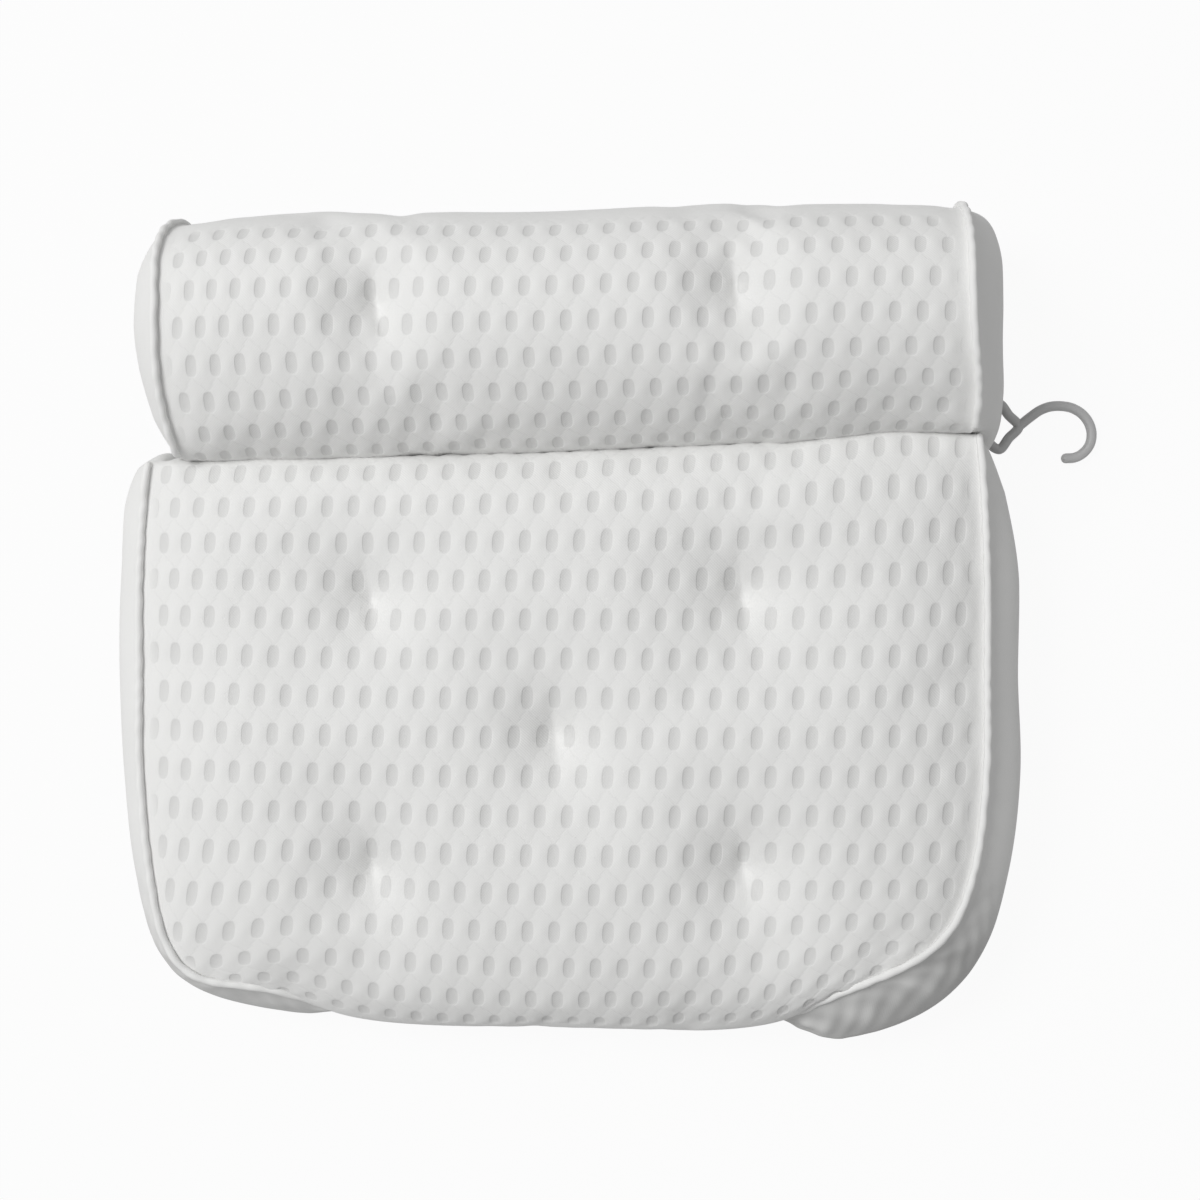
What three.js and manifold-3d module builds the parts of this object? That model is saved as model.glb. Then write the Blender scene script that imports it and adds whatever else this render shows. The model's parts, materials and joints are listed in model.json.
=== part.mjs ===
import * as THREE from 'three';
import { mergeVertices } from 'three/addons/utils/BufferGeometryUtils.js';
import Module from 'manifold-3d';

// Bath pillow: a lower panel cushion and a head roll, hinged at a sewn fold.
// Millimetres. +X is the wearer's right, +Y runs up to the head roll, +Z is the front.
// The pillow lies on the rims of its suction cups at height zero.

const wasm = await Module();
wasm.setup();

// Driving dimensions of the two cushions
const panelHalfWidth = 177;
const panelLength = 246;
const panelThickness = 57;
const panelSwell = 13;
const rollHalfWidth = 166;
const rollLength = 101;
const rollThickness = 84;
const rollSwell = 16;

// Height of the back covers over the surface that the cups stand on
const backHeight = 14;

// Fold between the cushions
const foldHalfGap = 0.4;

// Cloth
const coverThickness = 2.6;
const bandEndHeight = 10;
const clearance = 0.3;
const clothGap = 0.25;
const tapeGap = 1.15;
const pipingSetback = 1.3;
const fillingGap = 0.6;
const endRoom = 1.6;

// Piping bead with its sewn tail
const beadRadius = 1.7;
const beadRise = 2.15;
const tailHalfThickness = 0.3;
const tailDepth = 1.7;

// Tufts
const panelTuftDepth = 14;
const rollTuftDepth = 15;
const tuftSpread = 15;
const tuftColumnShare = 0.44;
const anchorRadius = 5;
const anchorThickness = 1;
const anchorSink = 1.4;
const tieRadius = 1.1;

// Suction cup and the eyelet that its stem turns in
const cupRadius = 30;
const cupRimWidth = 2.4;
const cupWall = 1.6;
const cupCrownHeight = 10.4;
const cupCollarRadius = 8;
const stemRadius = 3.4;
const knobRadius = 5.2;
const knobHeight = 3;
const pullTabLength = 9;
const pullTabHalfWidth = 5;
const pullTabThickness = 1.4;
const pullTabLift = 0.4;
const eyeletFlangeRadius = 9;
const eyeletFlangeThickness = 1;
const eyeletWall = 2;

// Hook
const rodRadius = 2.15;
const hookBarX = 180;
const hookBarY = 11.5;
const eyeHalfHeight = 9.8;
const eyeBarHalf = 5.9;
const eyeShoulder = 4.9;
const eyeReach = 13.2;
const stemBends = [[7.6, 5.9], [11.1, 8.1]];
const curlRadius = 11.4;
const curlCentreReach = 19.8;
const curlCentreDrop = 2.5;
const curlStartAngle = THREE.MathUtils.degToRad(100);
const curlEndAngle = THREE.MathUtils.degToRad(-88);

// Ribbon loop that holds the hook
const ribbonThickness = 0.9;
const ribbonWidth = 7.4;
const ribbonSeatInset = 6;
const ribbonPinch = 3;

// Overrun of every cutting tool past the face that it cuts
const overrun = 4;

// Column places across a front cover, from its middle to one side, closer round the tufts
const halfColumnShares = [0, 0.1, 0.21, 0.33, 0.39, 0.44, 0.49, 0.57, 0.72, 0.88, 1];
const backColumnShares = [-1, -0.8, -0.5, 0, 0.5, 0.8, 1];
const rowBendPower = 2.2;
const crownPower = 3.4;
const bandRowsPanel = 3;
const bandRowsRoll = 4;
const latheSides = 16;
const smallSides = 10;
const tieSides = 6;
const beadSides = 6;

// Stations along a cushion, from the fold to its far edge, as shares of length and thickness:
// middle y, middle z, seam x, seam y, seam z, back seam x, back seam y, left and right swell.
const panelEndShare = bandEndHeight / panelThickness;
const panelStationShares = [
  [0, panelEndShare, 0.955, 0.022, panelEndShare, 0.955, 0.022, 0.1, 0.1],
  [0, 0.45, 0.96, 0.024, 0.4, 0.965, 0.028, 0.5, 0.5],
  [0.022, 0.78, 0.97, 0.04, 0.64, 0.975, 0.045, 0.85, 0.85],
  [0.09, 0.96, 0.985, 0.09, 0.77, 0.985, 0.1, 1, 1],
  [0.24, 1, 1, 0.23, 0.8, 1, 0.23, 1, 1],
  [0.4, 1.01, 1, 0.39, 0.8, 1, 0.39, 1, 1],
  [0.56, 1, 0.998, 0.55, 0.8, 1, 0.55, 1, 1],
  [0.72, 0.97, 0.972, 0.7, 0.78, 0.98, 0.71, 0.9, 1.1],
  [0.86, 0.87, 0.91, 0.8, 0.72, 0.925, 0.81, 0.75, 1.3],
  [0.955, 0.63, 0.8, 0.885, 0.6, 0.81, 0.895, 0.6, 1.5],
  [0.998, 0.36, 0.64, 0.94, 0.42, 0.65, 0.95, 0.45, 1.2],
  [0.99, panelEndShare, 0.49, 0.975, panelEndShare, 0.49, 0.975, 0.1, 0.2],
];
const panelRowsPerSpan = [1, 1, 1, 3, 4, 4, 4, 3, 1, 1, 1];
const panelTuftShares = [
  [-tuftColumnShare, 0.257],
  [tuftColumnShare, 0.253],
  [0, 0.487],
  [-tuftColumnShare, 0.718],
  [tuftColumnShare, 0.71],
];

const rollEndShare = bandEndHeight / rollThickness;
const rollStationShares = [
  [0, rollEndShare, 0.965, 0.05, rollEndShare, 0.965, 0.05, 0.1, 0.1],
  [0, 0.33, 0.975, 0.045, 0.31, 0.975, 0.06, 0.5, 0.5],
  [0.05, 0.6, 0.985, 0.08, 0.57, 0.985, 0.1, 0.85, 0.85],
  [0.2, 0.87, 1, 0.205, 0.83, 1, 0.21, 1, 1],
  [0.4, 0.985, 1, 0.4, 0.945, 1, 0.38, 1, 1],
  [0.58, 1, 1, 0.575, 0.96, 1, 0.55, 1, 1],
  [0.78, 0.9, 1, 0.77, 0.865, 1, 0.7, 1, 1],
  [0.94, 0.68, 0.995, 0.925, 0.655, 0.995, 0.79, 0.9, 0.9],
  [1, 0.42, 0.985, 0.98, 0.41, 0.985, 0.84, 0.75, 0.75],
  [0.97, 0.22, 0.975, 0.95, 0.22, 0.975, 0.87, 0.45, 0.45],
  [0.9, rollEndShare, 0.965, 0.89, rollEndShare, 0.965, 0.89, 0.1, 0.1],
];
const rollRowsPerSpan = [1, 1, 2, 3, 3, 2, 2, 1, 1, 1];
const rollTuftShares = [
  [-tuftColumnShare, 0.57],
  [tuftColumnShare, 0.62],
];

const panel = {
  name: 'panel',
  direction: -1,
  halfWidth: panelHalfWidth,
  length: panelLength,
  thickness: panelThickness,
  swell: panelSwell,
  stations: panelStationShares,
  rowsPerSpan: panelRowsPerSpan,
  bandRows: bandRowsPanel,
  tuftShares: panelTuftShares,
  tuftDepth: panelTuftDepth,
};

const roll = {
  name: 'roll',
  direction: 1,
  halfWidth: rollHalfWidth,
  length: rollLength,
  thickness: rollThickness,
  swell: rollSwell,
  stations: rollStationShares,
  rowsPerSpan: rollRowsPerSpan,
  bandRows: bandRowsRoll,
  tuftShares: rollTuftShares,
  tuftDepth: rollTuftDepth,
};

// Materials
function material(color, roughness) {
  return new THREE.MeshStandardMaterial({ color, roughness, metalness: 0 });
}

const meshCloth = material(0xf1f1ef, 0.9);
const sideCloth = material(0xeeeeec, 0.92);
const pipingCloth = material(0xf5f5f3, 0.85);
const bindingCloth = material(0xebebe9, 0.9);
const filling = material(0xf7f5ee, 0.95);
const thread = material(0xe6e6e2, 0.8);
const clearRubber = material(0xdfe6e8, 0.25);
const whitePlastic = material(0xdedede, 0.4);
const greyPlastic = material(0x9a9a9a, 0.35);

// Closed solids from rings of points
function signedVolume(points, faces) {
  let six = 0;
  const cross = new THREE.Vector3();
  for (let f = 0; f < faces.length; f += 3) {
    cross.crossVectors(points[faces[f + 1]], points[faces[f + 2]]);
    six += points[faces[f]].dot(cross);
  }
  return six / 6;
}

function solidGeometry(points, faces) {
  const ordered = signedVolume(points, faces) < 0 ? faces.slice().reverse() : faces;
  const geometry = new THREE.BufferGeometry();
  const flat = points.flatMap((p) => [p.x, p.y, p.z]);
  geometry.setAttribute('position', new THREE.Float32BufferAttribute(flat, 3));
  geometry.setIndex(ordered);
  return geometry;
}

function wallFaces(ringCount, size, joined, mirroredFrom = size) {
  const faces = [];
  const spans = joined ? ringCount : ringCount - 1;
  for (let j = 0; j < spans; j += 1) {
    const low = j * size;
    const high = ((j + 1) % ringCount) * size;
    for (let i = 0; i < size; i += 1) {
      const next = (i + 1) % size;
      if (i < mirroredFrom) faces.push(low + i, low + next, high + next, low + i, high + next, high + i);
      else faces.push(low + i, low + next, high + i, low + next, high + next, high + i);
    }
  }
  return faces;
}

function centreOf(points) {
  const sum = new THREE.Vector3();
  points.forEach((p) => sum.add(p));
  return sum.divideScalar(points.length);
}

function fanCappedSolid(rings, startCentre, endCentre) {
  const size = rings[0].length;
  const last = (rings.length - 1) * size;
  const points = rings.flat();
  const faces = wallFaces(rings.length, size, false);
  points.push(startCentre ?? centreOf(rings[0]));
  points.push(endCentre ?? centreOf(rings[rings.length - 1]));
  for (let i = 0; i < size; i += 1) {
    const next = (i + 1) % size;
    faces.push(next, i, points.length - 2);
    faces.push(last + i, last + next, points.length - 1);
  }
  return solidGeometry(points, faces);
}

function ringSolid(rings) {
  return solidGeometry(rings.flat(), wallFaces(rings.length, rings[0].length, true));
}

// A cloth sheet: each ring runs along the outer face and back along the inner one
function sheetSolid(outerRows, innerRows) {
  const rings = outerRows.map((row, j) => [...row, ...innerRows[j].slice().reverse()]);
  const size = rings[0].length;
  const last = (rings.length - 1) * size;
  const faces = wallFaces(rings.length, size, false, size / 2);
  for (let i = 0; i + 1 < size / 2; i += 1) {
    const facing = size - 1 - i;
    faces.push(i + 1, i, facing, i + 1, facing, facing - 1);
    faces.push(last + i, last + i + 1, last + facing);
    faces.push(last + i + 1, last + facing - 1, last + facing);
  }
  return solidGeometry(rings.flat(), faces);
}

// Cutting and joining
function toManifold(geometry) {
  const bare = geometry.clone();
  bare.deleteAttribute('normal');
  bare.deleteAttribute('uv');
  const merged = mergeVertices(bare);
  return new wasm.Manifold(new wasm.Mesh({
    numProp: 3,
    vertProperties: new Float32Array(merged.attributes.position.array),
    triVerts: new Uint32Array(merged.index.array),
  }));
}

function fromManifold(solid) {
  const mesh = solid.getMesh();
  const geometry = new THREE.BufferGeometry();
  geometry.setAttribute('position', new THREE.BufferAttribute(mesh.vertProperties, 3));
  geometry.setIndex(new THREE.BufferAttribute(mesh.triVerts, 1));
  return geometry;
}

function cut(geometry, cutters) {
  let solid = toManifold(geometry);
  cutters.forEach((cutter) => {
    solid = solid.subtract(toManifold(cutter));
  });
  return fromManifold(solid);
}

function join(first, second) {
  return fromManifold(toManifold(first).add(toManifold(second)));
}

// Turned solid from pairs of radius and height, standing on the Z axis
function turned(profile, sides) {
  const points = profile.map(([r, z]) => new THREE.Vector2(r, z));
  const geometry = new THREE.LatheGeometry(points, sides);
  geometry.rotateX(Math.PI / 2);
  return geometry;
}

function upright(radius, low, high, x, y, sides) {
  const geometry = turned([[0, low], [radius, low], [radius, high], [0, high]], sides);
  geometry.translate(x, y, 0);
  return geometry;
}

// Skin of a cushion
function smoothCurve(points) {
  return new THREE.CatmullRomCurve3(points, false, 'centripetal');
}

function cushionPoint(spec, xShare, yShare, zShare) {
  return new THREE.Vector3(
    xShare * spec.halfWidth,
    spec.direction * (foldHalfGap + yShare * spec.length),
    backHeight + zShare * spec.thickness,
  );
}

// Along its middle a back cover runs the whole way from the fold to the far edge
function backMiddleShare(spec, row) {
  const first = spec.stations[0];
  const last = spec.stations[spec.stations.length - 1];
  return (last[0] * (row[6] - first[6])) / (last[6] - first[6]);
}

function cushionCurves(spec) {
  const through = (pick) => smoothCurve(spec.stations.map((row) => cushionPoint(spec, ...pick(row))));
  return {
    middle: through((row) => [0, row[0], row[1]]),
    leftSeam: through((row) => [-row[2], row[3], row[4]]),
    rightSeam: through((row) => [row[2], row[3], row[4]]),
    backMiddle: through((row) => [0, backMiddleShare(spec, row), 0]),
    leftBack: through((row) => [-row[5], row[6], 0]),
    rightBack: through((row) => [row[5], row[6], 0]),
    swells: smoothCurve(spec.stations.map((row) => new THREE.Vector3(row[7], row[8], 0))),
  };
}

function stationTimes(rowsPerSpan) {
  const times = [0];
  rowsPerSpan.forEach((rows, span) => {
    for (let k = 1; k <= rows; k += 1) {
      times.push((span + k / rows) / rowsPerSpan.length);
    }
  });
  return times;
}

function tuftPlaces(spec) {
  return spec.tuftShares.map(([xShare, yShare]) => cushionPoint(spec, xShare, yShare, 0));
}

function tuftDrop(spec, tufts, x, y) {
  const spread = 2 * tuftSpread * tuftSpread;
  return tufts.reduce((sum, tuft) => {
    const away = (x - tuft.x) ** 2 + (y - tuft.y) ** 2;
    return sum + spec.tuftDepth * Math.exp(-away / spread);
  }, 0);
}

function frontPoint(spec, curves, tufts, t, share) {
  const middle = curves.middle.getPoint(t);
  const seam = (share < 0 ? curves.leftSeam : curves.rightSeam).getPoint(t);
  const reach = Math.abs(share);
  const x = seam.x * reach;
  const inward = THREE.MathUtils.lerp(middle.y, seam.y, reach ** rowBendPower) * spec.direction;
  const y = spec.direction * Math.max(inward, foldHalfGap);
  const z = THREE.MathUtils.lerp(middle.z, seam.z, reach ** crownPower);
  return new THREE.Vector3(x, y, z - tuftDrop(spec, tufts, x, y));
}

function backPoint(curves, t, share) {
  const middle = curves.backMiddle.getPoint(t);
  const seam = (share < 0 ? curves.leftBack : curves.rightBack).getPoint(t);
  const reach = Math.abs(share);
  const y = THREE.MathUtils.lerp(middle.y, seam.y, reach ** rowBendPower);
  return new THREE.Vector3(seam.x * reach, y, backHeight);
}

function bandPoint(spec, curves, t, share, isLeft) {
  const front = (isLeft ? curves.leftSeam : curves.rightSeam).getPoint(t);
  const backCurve = isLeft ? curves.leftBack : curves.rightBack;
  const tangent = backCurve.getTangent(t);
  const outward = new THREE.Vector3(tangent.y, -tangent.x, 0).normalize();
  if (outward.x * front.x < 0) outward.negate();
  const swells = curves.swells.getPoint(t);
  const swell = spec.swell * (isLeft ? swells.x : swells.y) * Math.sin(Math.PI * share);
  return front.lerp(backCurve.getPoint(t), share).addScaledVector(outward, swell);
}

const frontShares = [
  ...halfColumnShares.slice(1).reverse().map((share) => -share),
  ...halfColumnShares,
];

function skinRing(spec, curves, tufts, t) {
  const front = frontShares.map((share) => frontPoint(spec, curves, tufts, t, share));
  const back = backColumnShares.map((share) => backPoint(curves, t, share)).reverse();
  const bandShares = [];
  for (let k = 1; k < spec.bandRows; k += 1) bandShares.push(k / spec.bandRows);
  const right = bandShares.map((share) => bandPoint(spec, curves, t, share, false));
  const left = bandShares.map((share) => bandPoint(spec, curves, t, share, true)).reverse();
  return [...front, ...right, ...back, ...left];
}

// Inward shift of each skin point that moves the faces round it by one unit
const mitreDamping = 0.1;

function quadNormal(a, b, c, d) {
  const across = new THREE.Vector3().subVectors(c, a);
  const along = new THREE.Vector3().subVectors(d, b);
  return across.cross(along).normalize();
}

function inwardShift(normals) {
  const sum = new THREE.Vector3();
  const m = [mitreDamping, 0, 0, 0, mitreDamping, 0, 0, 0, mitreDamping];
  normals.forEach((n) => {
    const v = [n.x, n.y, n.z];
    for (let r = 0; r < 3; r += 1) {
      for (let c = 0; c < 3; c += 1) m[r * 3 + c] += v[r] * v[c];
    }
    sum.sub(n);
  });
  return sum.applyMatrix3(new THREE.Matrix3().set(...m).invert());
}

function skinShifts(spec, rings) {
  const size = rings[0].length;
  const facing = spec.direction < 0 ? 1 : -1;
  const startNormal = new THREE.Vector3(0, facing, 0);
  const endNormal = new THREE.Vector3(0, -facing, 0);
  const patchNormal = (j, i) => {
    const next = (i + 1) % size;
    const normal = quadNormal(rings[j][i], rings[j][next], rings[j + 1][next], rings[j + 1][i]);
    return normal.multiplyScalar(-facing);
  };
  return rings.map((ring, j) => ring.map((point, i) => {
    const before = (i + size - 1) % size;
    const normals = [];
    if (j > 0) normals.push(patchNormal(j - 1, i), patchNormal(j - 1, before));
    if (j + 1 < rings.length) normals.push(patchNormal(j, i), patchNormal(j, before));
    if (j === 0) normals.push(startNormal, startNormal);
    if (j + 1 === rings.length) normals.push(endNormal, endNormal);
    return inwardShift(normals);
  }));
}

function buildSkin(spec) {
  const curves = cushionCurves(spec);
  const tufts = tuftPlaces(spec);
  const rings = stationTimes(spec.rowsPerSpan).map((t) => skinRing(spec, curves, tufts, t));
  const frontEnd = frontShares.length - 1;
  const rightEnd = frontEnd + spec.bandRows;
  const backEnd = rightEnd + backColumnShares.length - 1;
  return {
    curves,
    tufts,
    rings,
    shifts: skinShifts(spec, rings),
    front: [0, frontEnd],
    right: [frontEnd, rightEnd],
    back: [rightEnd, backEnd],
    left: [backEnd, rings[0].length],
  };
}

// Cloth panels cut from the skin, each drawn back from its borders
function towards(from, to, distance) {
  const step = new THREE.Vector3().subVectors(to, from).setLength(distance);
  return from.clone().add(step);
}

function squareInto(row, k, neighbours, distance) {
  const before = row[Math.max(k - 1, 0)];
  const after = row[Math.min(k + 1, row.length - 1)];
  const along = new THREE.Vector3().subVectors(after, before).normalize();
  const step = new THREE.Vector3().subVectors(neighbours[k], row[k]);
  step.addScaledVector(along, -step.dot(along)).setLength(distance);
  return row[k].clone().add(step);
}

function borderDrawnBack(rows, distance) {
  return rows[0].map((p, k) => squareInto(rows[0], k, rows[1], distance));
}

function transposed(rows) {
  return rows[0].map((p, k) => rows.map((row) => row[k]));
}

function drawnBack(rows, startSetback, endSetback) {
  const columns = transposed(rows);
  const start = borderDrawnBack(columns, startSetback);
  const end = borderDrawnBack(columns.slice().reverse(), endSetback);
  const across = transposed([start, ...columns.slice(1, -1), end]);
  const first = borderDrawnBack(across, clothGap);
  const final = borderDrawnBack(across.slice().reverse(), clothGap);
  return [first, ...across.slice(1, -1), final];
}

function clothPanel(skin, [start, end], startSetback, endSetback) {
  const size = skin.rings[0].length;
  const indexes = [];
  for (let i = start; i <= end; i += 1) indexes.push(i % size);
  const outer = skin.rings.map((ring) => indexes.map((i) => ring[i]));
  const drawn = drawnBack(outer, startSetback, endSetback);
  const inner = drawn.map((row, j) => row.map((p, k) => (
    p.clone().addScaledVector(skin.shifts[j][indexes[k]], coverThickness)
  )));
  return sheetSolid(drawn, inner);
}

// Tape that closes the narrow end between the front and the back cover
function endTape(spec, skin, atFar) {
  const t = atFar ? 1 : 0;
  const inwards = new THREE.Vector3(0, spec.direction * (atFar ? -coverThickness : coverThickness), 0);
  const last = backColumnShares.length - 1;
  const rows = backColumnShares.map((share) => {
    const top = frontPoint(spec, skin.curves, skin.tufts, t, share);
    const bottom = backPoint(skin.curves, t, share);
    return [towards(top, bottom, clothGap), towards(bottom, top, tapeGap)];
  });
  const sideInset = coverThickness + clearance;
  const first = rows[0].map((p, k) => towards(p, rows[1][k], sideInset));
  const final = rows[last].map((p, k) => towards(p, rows[last - 1][k], sideInset));
  const outer = [first, ...rows.slice(1, last), final];
  const lift = new THREE.Vector3(0, 0, coverThickness + tapeGap);
  const inner = outer.map(([top, bottom]) => [
    top.clone().add(inwards),
    bottom.clone().add(inwards).add(lift),
  ]);
  return sheetSolid(outer, inner);
}

// Filling
function fillingCore(spec, skin) {
  const depth = coverThickness + fillingGap;
  const last = skin.rings.length - 1;
  const rings = skin.rings.map((ring, j) => ring.map((p, i) => {
    const point = p.clone().addScaledVector(skin.shifts[j][i], depth);
    if (j === 0) point.y += spec.direction * endRoom;
    if (j === last) point.y -= spec.direction * endRoom;
    return point;
  }));
  return cut(fanCappedSolid(rings), skin.tufts.flatMap((tuft) => tuftCuts(spec, skin, tuft)));
}

const barrelTop = backHeight + coverThickness + clearance + eyeletFlangeThickness;
const knobBottom = barrelTop + clearance;
const knobTop = knobBottom + knobHeight;

function tuftFloor(spec, skin, tuft) {
  const y = tuft.y;
  let low = 0;
  let high = 1;
  for (let step = 0; step < 40; step += 1) {
    const mid = (low + high) / 2;
    const reached = skin.curves.middle.getPoint(mid).y * spec.direction > y * spec.direction;
    if (reached) high = mid;
    else low = mid;
  }
  return frontPoint(spec, skin.curves, skin.tufts, low, tuft.x / spec.halfWidth).z;
}

function anchorTop(spec, skin, tuft) {
  return tuftFloor(spec, skin, tuft) - coverThickness - anchorSink;
}

function tuftCuts(spec, skin, tuft) {
  const top = anchorTop(spec, skin, tuft);
  const under = backHeight - overrun;
  const seat = top - anchorThickness - clearance;
  const flangePocket = eyeletFlangeRadius + clearance;
  const knobPocket = knobRadius + clearance;
  return [
    upright(flangePocket, under, knobBottom, tuft.x, tuft.y, smallSides),
    upright(knobPocket, under, knobTop + clearance, tuft.x, tuft.y, smallSides),
    upright(tieRadius + clearance, under, top, tuft.x, tuft.y, tieSides),
    upright(anchorRadius + clearance, seat, top + 2 * overrun, tuft.x, tuft.y, smallSides),
  ];
}

function tuftTie(spec, skin, tuft) {
  const top = anchorTop(spec, skin, tuft);
  const low = knobTop + clearance;
  const neck = top - anchorThickness;
  const profile = [[0, low], [tieRadius, low], [tieRadius, neck], [anchorRadius, neck]];
  profile.push([anchorRadius, top], [0, top]);
  const geometry = turned(profile, tieSides);
  geometry.translate(tuft.x, tuft.y, 0);
  return geometry;
}

// Back cover with a hole for each eyelet
const eyeletBarrelRadius = stemRadius + clearance + eyeletWall;

function backCover(skin) {
  const low = backHeight - overrun;
  const high = backHeight + coverThickness + overrun;
  const hole = eyeletBarrelRadius + clearance;
  const holes = skin.tufts.map((tuft) => upright(hole, low, high, tuft.x, tuft.y, smallSides));
  return cut(clothPanel(skin, skin.back, clothGap, clothGap), holes);
}

// Piping along a front seam
function beadSection() {
  const section = [];
  const opening = Math.asin(tailHalfThickness / beadRadius);
  const sweep = 2 * (Math.PI - opening);
  for (let k = 0; k <= beadSides; k += 1) {
    const angle = -Math.PI / 2 + opening + (sweep * k) / beadSides;
    section.push([beadRadius * Math.cos(angle), beadRadius * Math.sin(angle)]);
  }
  section.push([-tailHalfThickness, -beadRise - tailDepth]);
  section.push([tailHalfThickness, -beadRise - tailDepth]);
  return section;
}

function piping(skin, index) {
  const seam = skin.rings.map((ring) => ring[index]);
  const section = beadSection();
  const centres = [];
  const rings = seam.map((point, j) => {
    const before = seam[Math.max(j - 1, 0)];
    const after = seam[Math.min(j + 1, seam.length - 1)];
    const along = new THREE.Vector3().subVectors(after, before).normalize();
    const outward = skin.shifts[j][index].clone().negate();
    outward.addScaledVector(along, -outward.dot(along)).normalize();
    const side = new THREE.Vector3().crossVectors(along, outward);
    const centre = point.clone().addScaledVector(outward, beadRise);
    centres.push(centre);
    return section.map(([across, rise]) => (
      centre.clone().addScaledVector(side, across).addScaledVector(outward, rise)
    ));
  });
  return fanCappedSolid(rings, centres[0], centres[centres.length - 1]);
}

// Eyelet clenched through a back cover
function eyelet() {
  const bore = stemRadius + clearance;
  const low = backHeight - clearance - eyeletFlangeThickness;
  const lowTop = low + eyeletFlangeThickness;
  const highBottom = barrelTop - eyeletFlangeThickness;
  return turned([
    [bore, low],
    [eyeletFlangeRadius, low],
    [eyeletFlangeRadius, lowTop],
    [eyeletBarrelRadius, lowTop],
    [eyeletBarrelRadius, highBottom],
    [eyeletFlangeRadius, highBottom],
    [eyeletFlangeRadius, barrelTop],
    [bore, barrelTop],
    [bore, low],
  ], smallSides);
}

// Suction cup with its knob and pull tab
function cupProfile() {
  const collarTop = backHeight - 2 * clearance - eyeletFlangeThickness;
  const shoulder = cupCrownHeight - cupWall;
  const innerRim = cupRadius - cupRimWidth;
  return [
    [0, shoulder - cupWall],
    [cupCollarRadius, shoulder - cupWall],
    [cupRadius * 0.62, shoulder * 0.48],
    [innerRim, 0],
    [cupRadius, 0],
    [cupRadius * 0.98, cupWall * 0.6],
    [cupRadius * 0.68, shoulder * 0.78],
    [cupCollarRadius, cupCrownHeight],
    [cupCollarRadius * 0.85, collarTop],
    [stemRadius, collarTop],
    [stemRadius, knobBottom],
    [knobRadius, knobBottom],
    [knobRadius * 0.75, knobTop],
    [0, knobTop],
  ];
}

function pullTab() {
  const reach = cupRadius + pullTabLength - pullTabHalfWidth;
  const root = cupRadius - cupRimWidth / 2;
  const outline = new THREE.Shape();
  outline.moveTo(-pullTabHalfWidth, -root);
  outline.lineTo(-pullTabHalfWidth, -reach);
  outline.absarc(0, -reach, pullTabHalfWidth, Math.PI, 2 * Math.PI, false);
  outline.lineTo(pullTabHalfWidth, -root);
  outline.closePath();
  const tab = new THREE.ExtrudeGeometry(outline, {
    depth: pullTabThickness,
    bevelEnabled: false,
    curveSegments: 4,
  });
  tab.translate(0, 0, pullTabLift);
  return tab;
}

function suctionCup() {
  return join(turned(cupProfile(), latheSides), pullTab());
}

// Grey wire hook: an eye like a rounded arrow head, a stem and an open curl
const hookHeight = clearance + ribbonThickness + clearance + rodRadius;
const eyeSteps = 32;
const curlSteps = 32;
const curlPoints = 8;
const rodSides = 10;

function rodRing(point, along, radius) {
  const side = new THREE.Vector3(-along.y, along.x, 0).normalize();
  const ring = [];
  for (let k = 0; k < rodSides; k += 1) {
    const angle = (2 * Math.PI * (k + 0.5)) / rodSides;
    const rise = new THREE.Vector3(0, 0, radius * Math.sin(angle));
    ring.push(point.clone().addScaledVector(side, radius * Math.cos(angle)).add(rise));
  }
  return ring;
}

function hookEye() {
  const corners = [
    [0, -eyeBarHalf],
    [0, 0],
    [0, eyeBarHalf],
    [eyeShoulder, eyeHalfHeight],
    [(eyeShoulder + eyeReach) / 2, eyeHalfHeight / 2],
    [eyeReach, 0],
    [(eyeShoulder + eyeReach) / 2, -eyeHalfHeight / 2],
    [eyeShoulder, -eyeHalfHeight],
  ].map(([x, y]) => new THREE.Vector3(x, y, 0));
  const line = new THREE.CatmullRomCurve3(corners, true, 'centripetal');
  const rings = [];
  for (let k = 0; k < eyeSteps; k += 1) {
    const t = k / eyeSteps;
    rings.push(rodRing(line.getPointAt(t), line.getTangentAt(t), rodRadius));
  }
  return ringSolid(rings);
}

function hookStem() {
  const centreX = eyeReach + curlCentreReach;
  const places = [[eyeReach, 0], ...stemBends.map(([reach, rise]) => [eyeReach + reach, rise])];
  for (let k = 0; k <= curlPoints; k += 1) {
    const angle = THREE.MathUtils.lerp(curlStartAngle, curlEndAngle, k / curlPoints);
    const drop = curlRadius * Math.sin(angle) - curlCentreDrop;
    places.push([centreX + curlRadius * Math.cos(angle), drop]);
  }
  const line = smoothCurve(places.map(([x, y]) => new THREE.Vector3(x, y, 0)));
  const rings = [];
  for (let k = 0; k <= curlSteps; k += 1) {
    const t = k / curlSteps;
    rings.push(rodRing(line.getPointAt(t), line.getTangentAt(t), rodRadius));
  }
  const tip = line.getPoint(1);
  const onward = line.getTangent(1);
  const rounded = tip.clone().addScaledVector(onward, rodRadius * 0.6);
  rings.push(rodRing(rounded, onward, rodRadius * 0.7));
  const crown = tip.clone().addScaledVector(onward, rodRadius);
  return fanCappedSolid(rings, line.getPoint(0), crown);
}

function hook() {
  return join(hookEye(), hookStem());
}

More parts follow.
